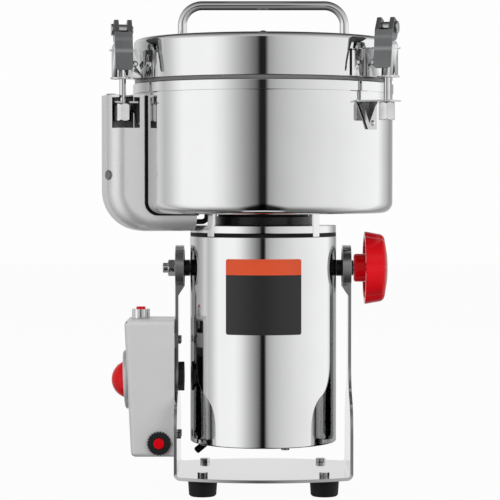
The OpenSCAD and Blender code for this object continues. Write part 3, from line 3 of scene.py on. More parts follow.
import bmesh
import bpy
import numpy as np
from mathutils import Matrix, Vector


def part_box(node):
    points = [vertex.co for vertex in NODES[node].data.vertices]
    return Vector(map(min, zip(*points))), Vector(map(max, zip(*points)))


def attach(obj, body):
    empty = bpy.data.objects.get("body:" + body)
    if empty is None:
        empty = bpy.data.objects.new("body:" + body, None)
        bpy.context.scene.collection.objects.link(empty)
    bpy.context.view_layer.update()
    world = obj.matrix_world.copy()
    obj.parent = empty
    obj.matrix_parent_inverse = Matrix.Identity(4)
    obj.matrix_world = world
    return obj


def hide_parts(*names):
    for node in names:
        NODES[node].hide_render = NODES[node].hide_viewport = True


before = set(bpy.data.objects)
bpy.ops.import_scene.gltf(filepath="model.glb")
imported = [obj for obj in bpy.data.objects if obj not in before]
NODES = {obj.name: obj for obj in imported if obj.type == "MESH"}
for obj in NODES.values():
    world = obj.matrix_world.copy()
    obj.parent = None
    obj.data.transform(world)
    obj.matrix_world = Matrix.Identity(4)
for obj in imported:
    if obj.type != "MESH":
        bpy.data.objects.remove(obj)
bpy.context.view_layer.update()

bl_info = {
    "name": "Swing grain mill",
    "version": (1, 0, 0),
    "blender": (4, 5, 0),
    "location": "3D View > Sidebar > Grain Mill",
    "description": "Dresses the packed grain mill with finished surfaces, a studio and a camera",
    "category": "Object",
}

MM = 0.001
FINISHES = {}


def span(node, axis):
    """Lowest and highest coordinate of a CAD node along one axis, in metres."""
    low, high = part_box(node)
    return low[axis], high[axis]


BOWL_Z0, BOWL_Z1 = span("bowl", 2)
LID_Z0, LID_Z1 = span("lid_shell", 2)
CASE_Z0, CASE_Z1 = span("motor_case", 2)
CAP_Z0, CAP_Z1 = span("motor_top_cap", 2)
PIVOT_Z = sum(span("pivot_nut", 2)) / 2
HANDLE_Z1 = span("lid_handle", 2)[1]


# Surfaces worked out with numpy

def arc(cx, cz, radius, start, stop, steps):
    """Points (cx + r cos t, cz + r sin t) for t from start to stop in degrees."""
    t = np.radians(np.linspace(start, stop, steps))
    return np.stack([cx + radius * np.cos(t), cz + radius * np.sin(t)], -1)


def path(*parts):
    """Joins points and arcs to one profile, leaving out neighbours that coincide."""
    rows = np.concatenate([np.atleast_2d(np.asarray(p, float)) for p in parts])
    keep = np.ones(len(rows), bool)
    keep[1:] = np.linalg.norm(np.diff(rows, axis=0), axis=1) > 1e-7
    return rows[keep]


def turned(profile, steps=256, shape=None):
    """Surface of revolution: the point (r, h) goes to (r cos t, r sin t, h) for t all the way round.

    shape(t, h), if given, multiplies r, so that a knob can have lobes.
    """
    profile = np.asarray(profile, float)
    t = np.linspace(0, 2 * math.pi, steps, endpoint=False)[:, None]
    r, h = profile[None, :, 0], profile[None, :, 1]
    if shape is not None:
        r = r * shape(t, h)
    return np.stack([r * np.cos(t), r * np.sin(t), h + 0 * t], -1)


def swept(line, radius, steps=32):
    """Tube: the circle r (cos t, sin t) carried along a flat line, square to the line's direction."""
    line = np.asarray(line, float)
    along = np.gradient(line, axis=0)
    along /= np.linalg.norm(along, axis=1)[:, None]
    square_to_plane = np.linalg.svd(line - line.mean(0))[2][2]
    up = np.cross(along, square_to_plane)
    up /= np.linalg.norm(up, axis=1)[:, None]
    side = np.cross(up, along)
    t = np.linspace(0, 2 * math.pi, steps, endpoint=False)
    ring = np.cos(t)[None, :, None] * side[:, None] + np.sin(t)[None, :, None] * up[:, None]
    return line[:, None] + radius * ring


def placed(grid, origin=(0, 0, 0), axis=(0, 0, 1), across=(1, 0, 0)):
    """Moves a grid so that its local Z runs along axis and its local X lies towards across."""
    z = np.asarray(axis, float)
    z /= np.linalg.norm(z)
    x = np.asarray(across, float) - z * np.dot(across, z)
    x /= np.linalg.norm(x)
    turn = np.stack([x, np.cross(z, x), z], -1)
    return grid @ turn.T + np.asarray(origin, float)


def quads(rows, cols, wrap_rows, wrap_cols):
    """Corner numbers of the quads between neighbouring points of a grid."""
    i, j = np.meshgrid(np.arange(rows if wrap_rows else rows - 1),
                       np.arange(cols if wrap_cols else cols - 1), indexing="ij")
    i2, j2 = (i + 1) % rows, (j + 1) % cols
    return np.stack([i * cols + j, i2 * cols + j, i2 * cols + j2, i * cols + j2], -1).reshape(-1, 4)


def make_piece(name, grids, body, finish, stands_for=(), crease=34):
    """Joins grids, each (points, wrap rows, wrap columns), to one closed piece on a body."""
    points, faces, count = [], [], 0
    for grid, wrap_rows, wrap_cols in grids:
        faces.append(quads(grid.shape[0], grid.shape[1], wrap_rows, wrap_cols) + count)
        points.append(grid.reshape(-1, 3))
        count += grid.shape[0] * grid.shape[1]
    mesh = bpy.data.meshes.new(name)
    mesh.from_pydata(np.concatenate(points).tolist(), [], np.concatenate(faces).tolist())
    bm = bmesh.new()
    bm.from_mesh(mesh)
    bmesh.ops.remove_doubles(bm, verts=bm.verts, dist=2e-7)
    bmesh.ops.recalc_face_normals(bm, faces=bm.faces)
    bm.to_mesh(mesh)
    bm.free()
    mesh.polygons.foreach_set("use_smooth", np.ones(len(mesh.polygons), bool))
    mesh.set_sharp_from_angle(angle=math.radians(crease))
    mesh.materials.append(FINISHES[finish])
    piece = bpy.data.objects.new(name, mesh)
    bpy.context.scene.collection.objects.link(piece)
    normals = piece.modifiers.new("Normals", "WEIGHTED_NORMAL")
    normals.keep_sharp = True
    normals.weight = 90
    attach(piece, body)
    if stands_for:
        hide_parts(*stands_for)
    return piece


def keep_node(node, finish, bevel=0.0, crease=30, segments=2):
    """Gives a CAD node its finish, smooth shading and a small rounding on its sharp edges."""
    part = NODES[node]
    part.data.materials.clear()
    part.data.materials.append(FINISHES[finish])
    part.data.polygons.foreach_set("use_smooth", np.ones(len(part.data.polygons), bool))
    weld = part.modifiers.new("Weld", "WELD")
    weld.merge_threshold = 2e-6
    if bevel:
        flat = part.modifiers.new("Flatten", "DECIMATE")
        flat.decimate_type = "DISSOLVE"
        flat.angle_limit = math.radians(0.6)
        rounding = part.modifiers.new("Rounding", "BEVEL")
        rounding.width = bevel * MM
        rounding.segments = segments
        rounding.limit_method = "ANGLE"
        rounding.angle_limit = math.radians(crease)
        rounding.use_clamp_overlap = True
        rounding.harden_normals = False
        normals = part.modifiers.new("Normals", "WEIGHTED_NORMAL")
        normals.keep_sharp = True
    split = part.modifiers.new("Edges", "EDGE_SPLIT")
    split.split_angle = math.radians(crease + 16 if bevel else crease)
    return part


# Finishes

def shader(name):
    """A new material with its node tree, its surface shader and the object coordinates."""
    material = bpy.data.materials.new(name)
    material.use_nodes = True
    tree = material.node_tree
    surface = tree.nodes["Principled BSDF"]
    where = tree.nodes.new("ShaderNodeTexCoord")
    FINISHES[name] = material
    return tree, surface, where.outputs["Object"]


def mapping(tree, where, scale):
    """Object coordinates stretched by scale along each axis."""
    node = tree.nodes.new("ShaderNodeMapping")
    node.inputs["Scale"].default_value = scale
    tree.links.new(where, node.inputs["Vector"])
    return node.outputs["Vector"]


def noise(tree, vector, scale, detail=2.0, rough=0.5):
    """Fractal noise value at the vector."""
    node = tree.nodes.new("ShaderNodeTexNoise")
    node.inputs["Scale"].default_value = scale
    node.inputs["Detail"].default_value = detail
    node.inputs["Roughness"].default_value = rough
    tree.links.new(vector, node.inputs["Vector"])
    return node.outputs["Fac"]


def ranged(tree, value, low, high, start=0.3, end=0.7):
    """Maps a value from start..end to low..high."""
    node = tree.nodes.new("ShaderNodeMapRange")
    for key, number in (("From Min", start), ("From Max", end), ("To Min", low), ("To Max", high)):
        node.inputs[key].default_value = number
    tree.links.new(value, node.inputs["Value"])
    return node.outputs["Result"]


def tinted(tree, value, dark, light):
    """Blends two colours by a value from 0 to 1. The first may be another node's output."""
    node = tree.nodes.new("ShaderNodeMix")
    node.data_type = "RGBA"
    if isinstance(dark, bpy.types.NodeSocket):
        tree.links.new(dark, node.inputs["A"])
    else:
        node.inputs["A"].default_value = (*dark, 1)
    node.inputs["B"].default_value = (*light, 1)
    tree.links.new(value, node.inputs["Factor"])
    return node.outputs["Result"]


def worked_out(tree, operation, *values):
    """Result of a mathematical operation on numbers and outputs of other nodes."""
    node = tree.nodes.new("ShaderNodeMath")
    node.operation = operation
    for socket, value in zip(node.inputs, values):
        if isinstance(value, bpy.types.NodeSocket):
            tree.links.new(value, socket)
        else:
            socket.default_value = value
    return node.outputs[0]


def tint_over(tree, surface, share, tint):
    """Lays a tint over the surface's colour, as strongly as the share says."""
    colour = surface.inputs["Base Color"]
    tree.links.new(tinted(tree, share, colour.links[0].from_socket, tint), colour)


def raised(tree, surface, height, strength, distance):
    """Bump from a height value, added after any bump that the shader already has."""
    node = tree.nodes.new("ShaderNodeBump")
    node.inputs["Strength"].default_value = strength
    node.inputs["Distance"].default_value = distance
    tree.links.new(height, node.inputs["Height"])
    socket = surface.inputs["Normal"]
    if socket.is_linked:
        tree.links.new(socket.links[0].from_socket, node.inputs["Normal"])
    tree.links.new(node.outputs["Normal"], socket)


def polished(name, tint, rough=(0.035, 0.07), grain=(300, 300, 18), ripple=0.00001):
    """Polished sheet: a faint grain along one axis, soft smudges and slow ripples."""
    tree, surface, where = shader(name)
    surface.inputs["Metallic"].default_value = 1.0
    smudge = noise(tree, where, 22, 4)
    tree.links.new(tinted(tree, ranged(tree, smudge, 0, 1), [c * 0.965 for c in tint], tint),
                   surface.inputs["Base Color"])
    tree.links.new(ranged(tree, smudge, *rough), surface.inputs["Roughness"])
    raised(tree, surface, noise(tree, mapping(tree, where, grain), 8, 3), 0.02, 0.0001)
    raised(tree, surface, noise(tree, where, 9, 1), 1.0, ripple)


def cut_edges(name, tint, rough=0.3):
    """Duller sawn edges on a sheet whose edges face along the object's Y axis."""
    tree = FINISHES[name].node_tree
    surface = tree.nodes["Principled BSDF"]
    facing = tree.nodes.new("ShaderNodeTexCoord")
    parts = tree.nodes.new("ShaderNodeSeparateXYZ")
    tree.links.new(facing.outputs["Normal"], parts.inputs["Vector"])
    edge = ranged(tree, worked_out(tree, "ABSOLUTE", parts.outputs["Y"]), 0, 1, 0.55, 0.8)
    tint_over(tree, surface, edge, tint)
    dull = tree.nodes.new("ShaderNodeMix")
    dull.inputs["B"].default_value = rough
    tree.links.new(surface.inputs["Roughness"].links[0].from_socket, dull.inputs["A"])
    tree.links.new(edge, dull.inputs["Factor"])
    tree.links.new(dull.outputs["Result"], surface.inputs["Roughness"])


def brushed(name, tint, rough=(0.07, 0.13), scale=600):
    """Plated or turned hardware: fine streaks round its axis and small dull patches."""
    tree, surface, where = shader(name)
    surface.inputs["Metallic"].default_value = 1.0
    patch = noise(tree, where, 90, 4)
    tree.links.new(tinted(tree, ranged(tree, patch, 0, 1), [c * 0.82 for c in tint], tint),
                   surface.inputs["Base Color"])
    tree.links.new(ranged(tree, patch, *rough), surface.inputs["Roughness"])
    raised(tree, surface, noise(tree, mapping(tree, where, (1, 1, 6)), scale, 2), 0.06, 0.0001)


def painted(name, colour, rough=(0.34, 0.42), peel=900, depth=0.00004, metallic=0.0, speck=0.03):
    """Satin coat: the fine orange peel of powder paint, with a very slight change of tone."""
    tree, surface, where = shader(name)
    surface.inputs["Metallic"].default_value = metallic
    surface.inputs["Coat Weight"].default_value = 0.15
    surface.inputs["Coat Roughness"].default_value = 0.25
    tone = noise(tree, where, 30, 3)
    tree.links.new(tinted(tree, ranged(tree, tone, 0, 1), [c * (1 - speck) for c in colour], colour),
                   surface.inputs["Base Color"])
    tree.links.new(ranged(tree, tone, *rough), surface.inputs["Roughness"])
    raised(tree, surface, noise(tree, where, peel, 2), 0.25, depth)


def moulded(name, colour, rough=(0.1, 0.17), grain=1400, depth=0.00002, shine=0.5):
    """Moulded plastic: a skin of the given shine with a trace of flow marks and fine scratches."""
    tree, surface, where = shader(name)
    surface.inputs["Specular IOR Level"].default_value = shine
    flow = noise(tree, where, 35, 4, 0.6)
    tree.links.new(tinted(tree, ranged(tree, flow, 0, 1), [c * 0.9 for c in colour], colour),
                   surface.inputs["Base Color"])
    tree.links.new(ranged(tree, flow, *rough), surface.inputs["Roughness"])
    raised(tree, surface, noise(tree, where, grain, 2), 0.15, depth)


def painted_bend_highlights(name, bends, reach, tint):
    """Painted highlights across bends: the paint is made lighter there as if light caught them, each
    bend (height, share of the tint), up to a reach from them.
    """
    tree = FINISHES[name].node_tree
    surface = tree.nodes["Principled BSDF"]
    where = tree.nodes.new("ShaderNodeTexCoord")
    parts = tree.nodes.new("ShaderNodeSeparateXYZ")
    tree.links.new(where.outputs["Object"], parts.inputs["Vector"])
    painted_highlight = 0
    for height, share in bends:
        away = worked_out(tree, "ABSOLUTE", worked_out(tree, "SUBTRACT", parts.outputs["Z"], height))
        painted_highlight = worked_out(tree, "MAXIMUM", painted_highlight, ranged(tree, away, share, 0, 0, reach))
    # Painted highlight laid over the paint's colour
    tint_over(tree, surface, painted_highlight, tint)


def label_film(name, band, ground, z_band):
    """Printed film: a coloured band above a height, with a dark ground below and fine print grain."""
    tree, surface, where = shader(name)
    split = tree.nodes.new("ShaderNodeSeparateXYZ")
    tree.links.new(where, split.inputs["Vector"])
    above = ranged(tree, split.outputs["Z"], 0, 1, z_band - 0.0001, z_band + 0.0001)
    print_grain = noise(tree, where, 500, 3)
    tree.links.new(tinted(tree, above, ground, band), surface.inputs["Base Color"])
    tree.links.new(ranged(tree, print_grain, 0.32, 0.4), surface.inputs["Roughness"])
    surface.inputs["Specular IOR Level"].default_value = 0.3
    raised(tree, surface, print_grain, 0.1, 0.00003)


class MillLook(bpy.types.PropertyGroup):
    """Sizes and colours that a user would change."""

    steel: bpy.props.FloatVectorProperty(
        name="Polished steel", description="Colour of the polished sheet", subtype="COLOR",
        size=3, min=0, max=1, default=(0.64, 0.642, 0.645))
    plated: bpy.props.FloatVectorProperty(
        name="Plated steel", description="Colour of nuts, rods and screws", subtype="COLOR",
        size=3, min=0, max=1, default=(0.62, 0.62, 0.625))
    paint: bpy.props.FloatVectorProperty(
        name="Grey paint", description="Colour of the control box and the duct", subtype="COLOR",
        size=3, min=0, max=1, default=(0.65, 0.65, 0.652))
    lever: bpy.props.FloatVectorProperty(
        name="Lever", description="Colour of the clamp levers", subtype="COLOR",
        size=3, min=0, max=1, default=(0.15, 0.155, 0.16))
    knob: bpy.props.FloatVectorProperty(
        name="Knobs", description="Colour of the red knobs and buttons", subtype="COLOR",
        size=3, min=0, max=1, default=(0.84, 0.0008, 0.008))
    band: bpy.props.FloatVectorProperty(
        name="Label band", description="Colour of the band along the label's top", subtype="COLOR",
        size=3, min=0, max=1, default=(0.745, 0.087, 0.024))
    band_height: bpy.props.FloatProperty(
        name="Label band height", description="Height of the coloured band on the label",
        subtype="DISTANCE", unit="LENGTH", default=0.0152, min=0.0, max=0.05)
    rounding: bpy.props.FloatProperty(
        name="Edge rounding", description="Rounding of the sheet edges in millimetres",
        default=0.35, min=0.05, max=1.0)
    camera_distance: bpy.props.FloatProperty(
        name="Camera distance", description="Distance from the camera to the bowl's axis plane",
        subtype="DISTANCE", unit="LENGTH", default=2.069, min=0.5, max=5.0)
    camera_height: bpy.props.FloatProperty(
        name="Camera height", description="Height of the camera above the floor",
        subtype="DISTANCE", unit="LENGTH", default=0.2974, min=0.0, max=2.0)


def look():
    """The sizes and colours that the scene holds."""
    return bpy.context.scene.mill_look


class MILL_OT_finishes(bpy.types.Operator):
    """Make the finishes that the pieces share"""

    bl_idname = "mill.finishes"
    bl_label = "Finishes"

    def execute(self, context):
        dress = look()
        polished("polished_bowl", dress.steel)
        polished("polished_sheet", dress.steel, rough=(0.05, 0.1), ripple=0.00004)
        polished("chrome", dress.steel, rough=(0.03, 0.05), grain=(40, 40, 40))
        polished("stand_sheet", dress.steel, rough=(0.05, 0.1), ripple=0.00004)
        cut_edges("stand_sheet", (0.36, 0.36, 0.365))
        # Painted shade: the fork brackets get the polished steel darkened to 0.7 and duller, standing
        # in for the dark that they mirror
        polished("bracket_sheet_painted_shade", [0.7 * c for c in dress.steel], rough=(0.1, 0.18), ripple=0.00004)
        brushed("plated_steel", dress.plated)
        brushed("dark_screw", (0.23, 0.23, 0.235), rough=(0.3, 0.45))
        painted("grey_paint", dress.paint)
        painted("duct_paint", dress.paint, rough=(0.26, 0.34), metallic=0.45)
        painted("bezel_paint", [0.8 * c for c in dress.paint], rough=(0.26, 0.34), metallic=0.3)
        painted("lever_paint", dress.lever, rough=(0.24, 0.36), peel=1300, speck=0.2, metallic=0.6)
        # Painted highlight: lighter streaks across the lever's two bends, standing in for light caught
        # on them
        foot, top = span("clamp_lever_left", 2)
        bends = [(foot + 0.38 * (top - foot), 1.0), (foot + 0.61 * (top - foot), 0.4)]
        painted_bend_highlights("lever_paint", bends, 2.6 * MM, (0.28, 0.285, 0.29))
        moulded("red_gloss", dress.knob, rough=(0.12, 0.18), shine=0.16)
        moulded("black_satin", (0.012, 0.012, 0.013), rough=(0.3, 0.42), shine=0.35)
        moulded("black_rubber", (0.008, 0.008, 0.008), rough=(0.5, 0.65), shine=0.15, grain=700,
                depth=0.00006)
        moulded("grey_silicone", (0.14, 0.14, 0.143), rough=(0.22, 0.32), grain=700, depth=0.00004)
        painted("cast_alloy", (0.5, 0.5, 0.51), rough=(0.42, 0.55), metallic=0.9, depth=0.0001)
        painted("lamination", (0.12, 0.12, 0.13), rough=(0.45, 0.6), metallic=0.6)
        moulded("copper_winding", (0.42, 0.16, 0.07), rough=(0.25, 0.4), grain=900)
        band_low = span("label_plate", 2)[1] - dress.band_height
        label_film("label_film", dress.band, (0.017, 0.017, 0.018), band_low)
        return {"FINISHED"}


class MILL_OT_stand(bpy.types.Operator):
    """Finish the folded stand, its feet and bolts"""

    bl_idname = "mill.stand"
    bl_label = "Stand and feet"

    def execute(self, context):
        edge = look().rounding
        keep_node("stand_frame", "stand_sheet", bevel=edge, segments=3)
        keep_node("rubber_feet", "black_rubber", bevel=0.6)
        keep_node("foot_bolts", "plated_steel", bevel=0.4)
        return {"FINISHED"}


class MILL_OT_control_box(bpy.types.Operator):
    """Finish the control box with its timer, start switch and breaker"""

    bl_idname = "mill.control_box"
    bl_label = "Control box"

    def execute(self, context):
        box = keep_node("control_box", "grey_paint", crease=38)
        normals = box.modifiers.new("Normals", "WEIGHTED_NORMAL")
        normals.keep_sharp = True
        normals.weight = 90
        keep_node("box_screws", "dark_screw", bevel=0.3)
        keep_node("timer_bezel", "bezel_paint")
        keep_node("timer_case", "black_satin")
        keep_node("timer_knob", "red_gloss", bevel=0.3)
        keep_node("start_switch", "chrome", bevel=0.3)
        keep_node("start_button", "red_gloss", bevel=0.5, segments=3)
        keep_node("circuit_breaker", "black_satin", bevel=0.3)
        keep_node("reset_button", "red_gloss", bevel=0.7, segments=3)
        keep_node("cable_gland", "black_satin", bevel=0.5)
        keep_node("cord_inlet", "black_rubber", bevel=0.4)
        return {"FINISHED"}


class MILL_OT_lock_knob(bpy.types.Operator):
    """Make the lobed lock knob and finish the tilt pivot"""

    bl_idname = "mill.lock_knob"
    bl_label = "Lock knob and pivot"

    def execute(self, context):
        x0, x1 = span("lock_knob", 0)
        radius = (span("lock_knob", 2)[1] - span("lock_knob", 2)[0]) / 2
        length, hub, web = x1 - x0, 10.6 * MM, 7 * MM
        hub_r, hub_edge, lip = 13.8 * MM, 2.5 * MM, 1.0 * MM
        rim, flat, cone = 5.94 * MM, 15.4 * MM, 10
        front = radius - 2.4 * MM - rim
        shoulder = front + rim * math.sin(math.radians(cone))
        slope = length - (shoulder - flat) * math.tan(math.radians(cone))
        profile = path(
            (0.0, 0.0), (5.2 * MM, 0.0), arc(hub_r - hub_edge, hub_edge, hub_edge, -90, 0, 8),
            (hub_r, hub + web - lip), (hub_r + 1.5 * MM, hub + web), (radius - 8 * MM, hub + web),
            (radius - 6 * MM, hub + lip), (radius - 5.2 * MM, hub),
            arc(radius - lip, hub + lip, lip, -90, 6, 6),
            arc(front, slope - rim * math.cos(math.radians(cone)), rim, 6, 90 - cone, 14),
            arc(flat, length - 3 * MM, 3 * MM, 90 - cone, 90, 3), (0.0, length))

        def lobes(t, h):
            """Six lobes: r is less by 4.5 % (1 - |sin 3t|)^2 between them, from the skirt's back on."""
            skirt = np.clip((h - hub * 0.97) / (0.3 * MM), 0, 1)
            return 1 - 0.045 * skirt * (1 - np.abs(np.sin(3 * (t - math.radians(83))))) ** 2

        knob = placed(turned(profile, 240, lobes), (x0, 0, PIVOT_Z), (1, 0, 0), (0, 0, 1))
        finished = make_piece("lock_knob_finished", [(knob, True, False)], "lock", "red_gloss",
                              ("lock_knob",), crease=40)
        finished.visible_glossy = False
        keep_node("knob_stud", "plated_steel", bevel=0.4)
        keep_node("knob_washer", "black_satin", bevel=0.4)
        keep_node("pivot_stud", "plated_steel", bevel=0.8)
        keep_node("pivot_nut", "plated_steel", bevel=0.5)
        keep_node("pivot_spacers", "black_satin", bevel=0.4)
        return {"FINISHED"}


class MILL_OT_motor(bpy.types.Operator):
    """Make the motor column and finish what is inside it"""

    bl_idname = "mill.motor"
    bl_label = "Motor column"

    def execute(self, context):
        outer, wall, lip, turn_in = 72.0 * MM, 1.5 * MM, 0.6 * MM, 1.4 * MM
        case = path(
            arc(outer - turn_in, CASE_Z0 + turn_in, turn_in, -90, 0, 8),
            arc(outer - lip, CASE_Z1 - lip, lip, 0, 90, 6),
            (outer - wall, CASE_Z1), (outer - wall, CASE_Z0))
        make_piece("motor_case_finished", [(turned(case, 288), True, True)], "swing", "polished_bowl",
                   ("motor_case",))
        edge, cap_outer, hole = 0.9 * MM, outer - 0.3 * MM, 28.3 * MM
        cap = path(
            arc(cap_outer - edge, CAP_Z0 + edge, edge, -90, 0, 6),
            arc(cap_outer - edge, CAP_Z1 - edge, edge, 0, 90, 6),
            (hole, CAP_Z1), (hole, CAP_Z0))
        make_piece("motor_cap_finished", [(turned(cap, 288), True, True)], "swing", "polished_bowl",
                   ("motor_top_cap",))
        keep_node("support_tabs", "polished_sheet", bevel=0.4)
        keep_node("cap_gasket", "black_rubber")
        keep_node("bottom_cover", "black_satin", bevel=0.3)
        keep_node("case_screws", "dark_screw", bevel=0.4)
        keep_node("motor_leads", "black_rubber")
        keep_node("stator", "lamination")
        keep_node("end_frame", "cast_alloy", bevel=0.4)
        keep_node("brush_gear", "copper_winding", bevel=0.3)
        keep_node("ball_bearings", "plated_steel", bevel=0.4)
        keep_node("neck_housing", "black_satin", bevel=0.5)
        keep_node("neck_seals", "black_rubber")
        keep_node("label_plate", "label_film")
        return {"FINISHED"}


class MILL_OT_rotor(bpy.types.Operator):
    """Finish the shaft, the armature, the fan and the blades"""

    bl_idname = "mill.rotor"
    bl_label = "Rotor and blades"

    def execute(self, context):
        keep_node("motor_shaft", "plated_steel", bevel=0.4)
        keep_node("armature", "lamination")
        keep_node("cooling_fan", "cast_alloy", bevel=0.3)
        keep_node("lower_blade", "polished_sheet", bevel=0.5)
        keep_node("upper_blade", "polished_sheet", bevel=0.5)
        keep_node("blade_nut", "plated_steel", bevel=0.6)
        return {"FINISHED"}


class MILL_OT_bowl(bpy.types.Operator):
    """Make the grinding bowl and finish its forks"""

    bl_idname = "mill.bowl"
    bl_label = "Bowl and forks"

    def execute(self, context):
        outer, wall, floor = 127.0 * MM, 1.5 * MM, 2.5 * MM
        corner, collar, proud, hole = 11.0 * MM, 9.6 * MM, 0.8 * MM, 14.1 * MM
        z0, z1 = BOWL_Z0, BOWL_Z1
        profile = path(
            (hole, z0), arc(outer - corner, z0 + corner, corner, -90, 0, 18),
            (outer, z1 - collar - 0.8 * MM), (outer + 0.25 * MM, z1 - collar - 0.2 * MM),
            arc(outer + proud - 0.5 * MM, z1 - collar + 0.5 * MM, 0.5 * MM, -90, 0, 5),
            arc(outer + proud - 0.6 * MM, z1 - 0.6 * MM, 0.6 * MM, 0, 90, 6),
            (outer - wall, z1),
            arc(outer - corner, z0 + floor + corner - wall, corner - wall, 0, -90, 16),
            (hole, z0 + floor))
        make_piece("bowl_finished", [(turned(profile, 360), True, True)], "swing", "polished_bowl",
                   ("bowl",))
        edge = look().rounding
        # Painted shade: the brackets' finish is darkened steel
        keep_node("fork_brackets", "bracket_sheet_painted_shade", bevel=edge)
        keep_node("fork_rivets", "plated_steel")
        return {"FINISHED"}


class MILL_OT_duct(bpy.types.Operator):
    """Finish the wiring duct and the safety switch in it"""

    bl_idname = "mill.duct"
    bl_label = "Wiring duct"

    def execute(self, context):
        keep_node("wiring_duct", "duct_paint", bevel=0.3, crease=40)
        away, side, thick, under = math.radians(195), 29.2 * MM, 0.95 * MM, 78 * MM
        outer, corner = 127.0 * MM + thick, 11.0 * MM + thick
        reach = np.array([math.cos(away), math.sin(away), 0])
        front = np.array([-math.sin(away), math.cos(away), 0])
        edge = path((outer, span("wiring_duct", 2)[1] - 1 * MM), (outer, BOWL_Z0 + 60 * MM),
                    arc(outer - corner, BOWL_Z0 - thick + corner, corner, 0, -90, 14),
                    (outer - 30 * MM, BOWL_Z0 - thick), (under, BOWL_Z0 - thick))
        line = (np.sqrt(edge[:, :1] ** 2 - side ** 2) * reach + side * front
                + edge[:, 1:] * np.array([0, 0, 1.0]))
        make_piece("duct_trim", [(swept(line, thick, 16), False, True)], "swing", "black_rubber")
        keep_node("interlock_switch", "black_satin", bevel=0.4)
        keep_node("interlock_plunger", "red_gloss", bevel=0.5)
        return {"FINISHED"}


class MILL_OT_lid(bpy.types.Operator):
    """Make the lid with its handle, seal and lugs"""

    bl_idname = "mill.lid"
    bl_label = "Lid and handle"

    def execute(self, context):
        outer, wall, edge = 127.0 * MM, 1.5 * MM, 5.0 * MM
        z0, z1 = LID_Z0, LID_Z1
        lip = 0.7 * MM
        profile = path(
            arc(outer - lip, z0 + lip, lip, -90, 0, 6), arc(outer - edge, z1 - edge, edge, 0, 90, 12),
            (0.0, z1))
        inner = path((0.0, z1 - wall), arc(outer - edge, z1 - edge, edge - wall, 90, 0, 10),
                     (outer - wall, z0), (outer - lip, z0))
        whole = path(profile, inner)
        make_piece("lid_finished", [(turned(whole, 360), True, False)], "lid", "polished_bowl",
                   ("lid_shell",))
        rod, bend = 4.5 * MM, 19.5 * MM
        leg = span("lid_handle", 0)[1] - 8 * MM
        top = HANDLE_Z1 - rod
        right = arc(leg - bend, top - bend, bend, 0, 90, 24)
        left = arc(-leg + bend, top - bend, bend, 90, 180, 24)
        rise = np.linspace(z1, top - bend, 4)[:-1]
        line = path(np.stack([np.full(3, leg), rise], -1), right, left,
                    np.stack([np.full(3, -leg), rise[::-1]], -1))
        line = np.stack([line[:, 0], 0 * line[:, 0], line[:, 1]], -1)
        tube = swept(line, rod, 48)
        foot = path((0.0, 0.0), (8.0 * MM, 0.0), (8.0 * MM, 1.0 * MM),
                    arc(6.9 * MM, 1.0 * MM, 1.1 * MM, 0, 80, 6), (rod + 0.5 * MM, 2.2 * MM),
                    (rod, 2.9 * MM), (0.0, 2.9 * MM))
        feet = [(placed(turned(foot, 48), (s * leg, 0, z1)), True, False) for s in (-1, 1)]
        make_piece("lid_handle_finished", [(tube, False, True), *feet], "lid", "chrome",
                   ("lid_handle",))
        keep_node("lid_seal", "grey_silicone", bevel=0.8)
        keep_node("clamp_lugs", "polished_sheet", bevel=look().rounding)
        keep_node("lid_fasteners", "plated_steel", bevel=0.3)
        return {"FINISHED"}


class MILL_OT_clamps(bpy.types.Operator):
    """Finish the draw rods, pins and levers of the three clamps"""

    bl_idname = "mill.clamps"
    bl_label = "Clamps"

    def execute(self, context):
        for place in ("left", "right", "back"):
            keep_node("draw_rod_" + place, "plated_steel", bevel=0.4)
            keep_node("lever_pin_" + place, "plated_steel", bevel=0.4)
            keep_node("clamp_lever_" + place, "lever_paint", bevel=0.45, segments=3)
        return {"FINISHED"}


# Studio

# Directions in degrees round the mill from the camera, with the screen's brightness there
SCREEN_SIDES = [
    (-180, 0.9), (-173, 0.88), (-165, 0.66), (-144, 0.8), (-123, 0.5), (-112, 0.66), (-103, 0.98),
    (-94, 0.74), (-87, 0.9), (-80, 1.18), (-73, 1.38), (-45, 1.4), (-35, 1.2), (-29, 0.98),
    (-23, 0.76), (-17, 0.55), (-11, 0.36), (-6, 0.2), (-3, 0.02), (2.6, 0.02), (3.4, 0.48),
    (11, 0.69), (17, 0.79), (29, 0.94), (41, 1.04), (53, 1.14), (67, 1.2), (81, 1.28), (97, 1.34),
    (118, 1.38), (130, 0.9), (147, 0.42), (165, 0.5), (173, 0.88), (180, 0.9)]

# Heights in degrees above the level, with a share of that brightness and of even light in it
SCREEN_HEIGHTS = [
    (-80, 0.16, 0), (-63, 0.2, 0), (-45, 0.6, 0), (-32, 0.92, 0), (-10, 1, 0), (12, 1, 0),
    (22, 0.92, 0.6), (41, 0.75, 1), (55, 0.4, 1), (67, 0.27, 1), (78, 0.2, 1), (88, 0.12, 1)]

# Lamps with their place and size in metres and their power in watts
LAMPS = [
    ("key_light", (-0.9, -1.7, 1.3), 1.2, 19),
    ("fill_light", (1.2, -1.5, 0.9), 1.4, 12),
    ("back_light", (0.4, 1.6, 1.6), 1.2, 8)]

MIDDLE_Z = 0.25
CAMERA_X = -0.013
CAMERA_AIM_Z = 0.2353


def screen_light(side, height):
    """Brightness of the screen in the directions side by height, both in degrees.

    It is share (b + even (0.9 - b)), with b from SCREEN_SIDES and share and even from SCREEN_HEIGHTS.
    Below the level a dark wedge opens around the camera's direction, and the upper part behind is dark.
    """
    bright = np.interp(side, *np.array(SCREEN_SIDES).T)[:, None]
    table = np.array(SCREEN_HEIGHTS)
    share, even = (np.interp(height, table[:, 0], table[:, i])[None, :] for i in (1, 2))
    bright = share * (bright + even * (0.9 - bright))
    away, height = np.abs(side)[:, None], height[None, :]
    wedge = (away + 0.55 * (height + 8)) / 14
    bright *= np.clip(0.55 + wedge, 0.06, 1)
    behind = np.clip((away - 100) / 30, 0, 1) * np.clip((height - 20) / 20, 0, 1)
    return bright * (1 - 0.85 * behind)


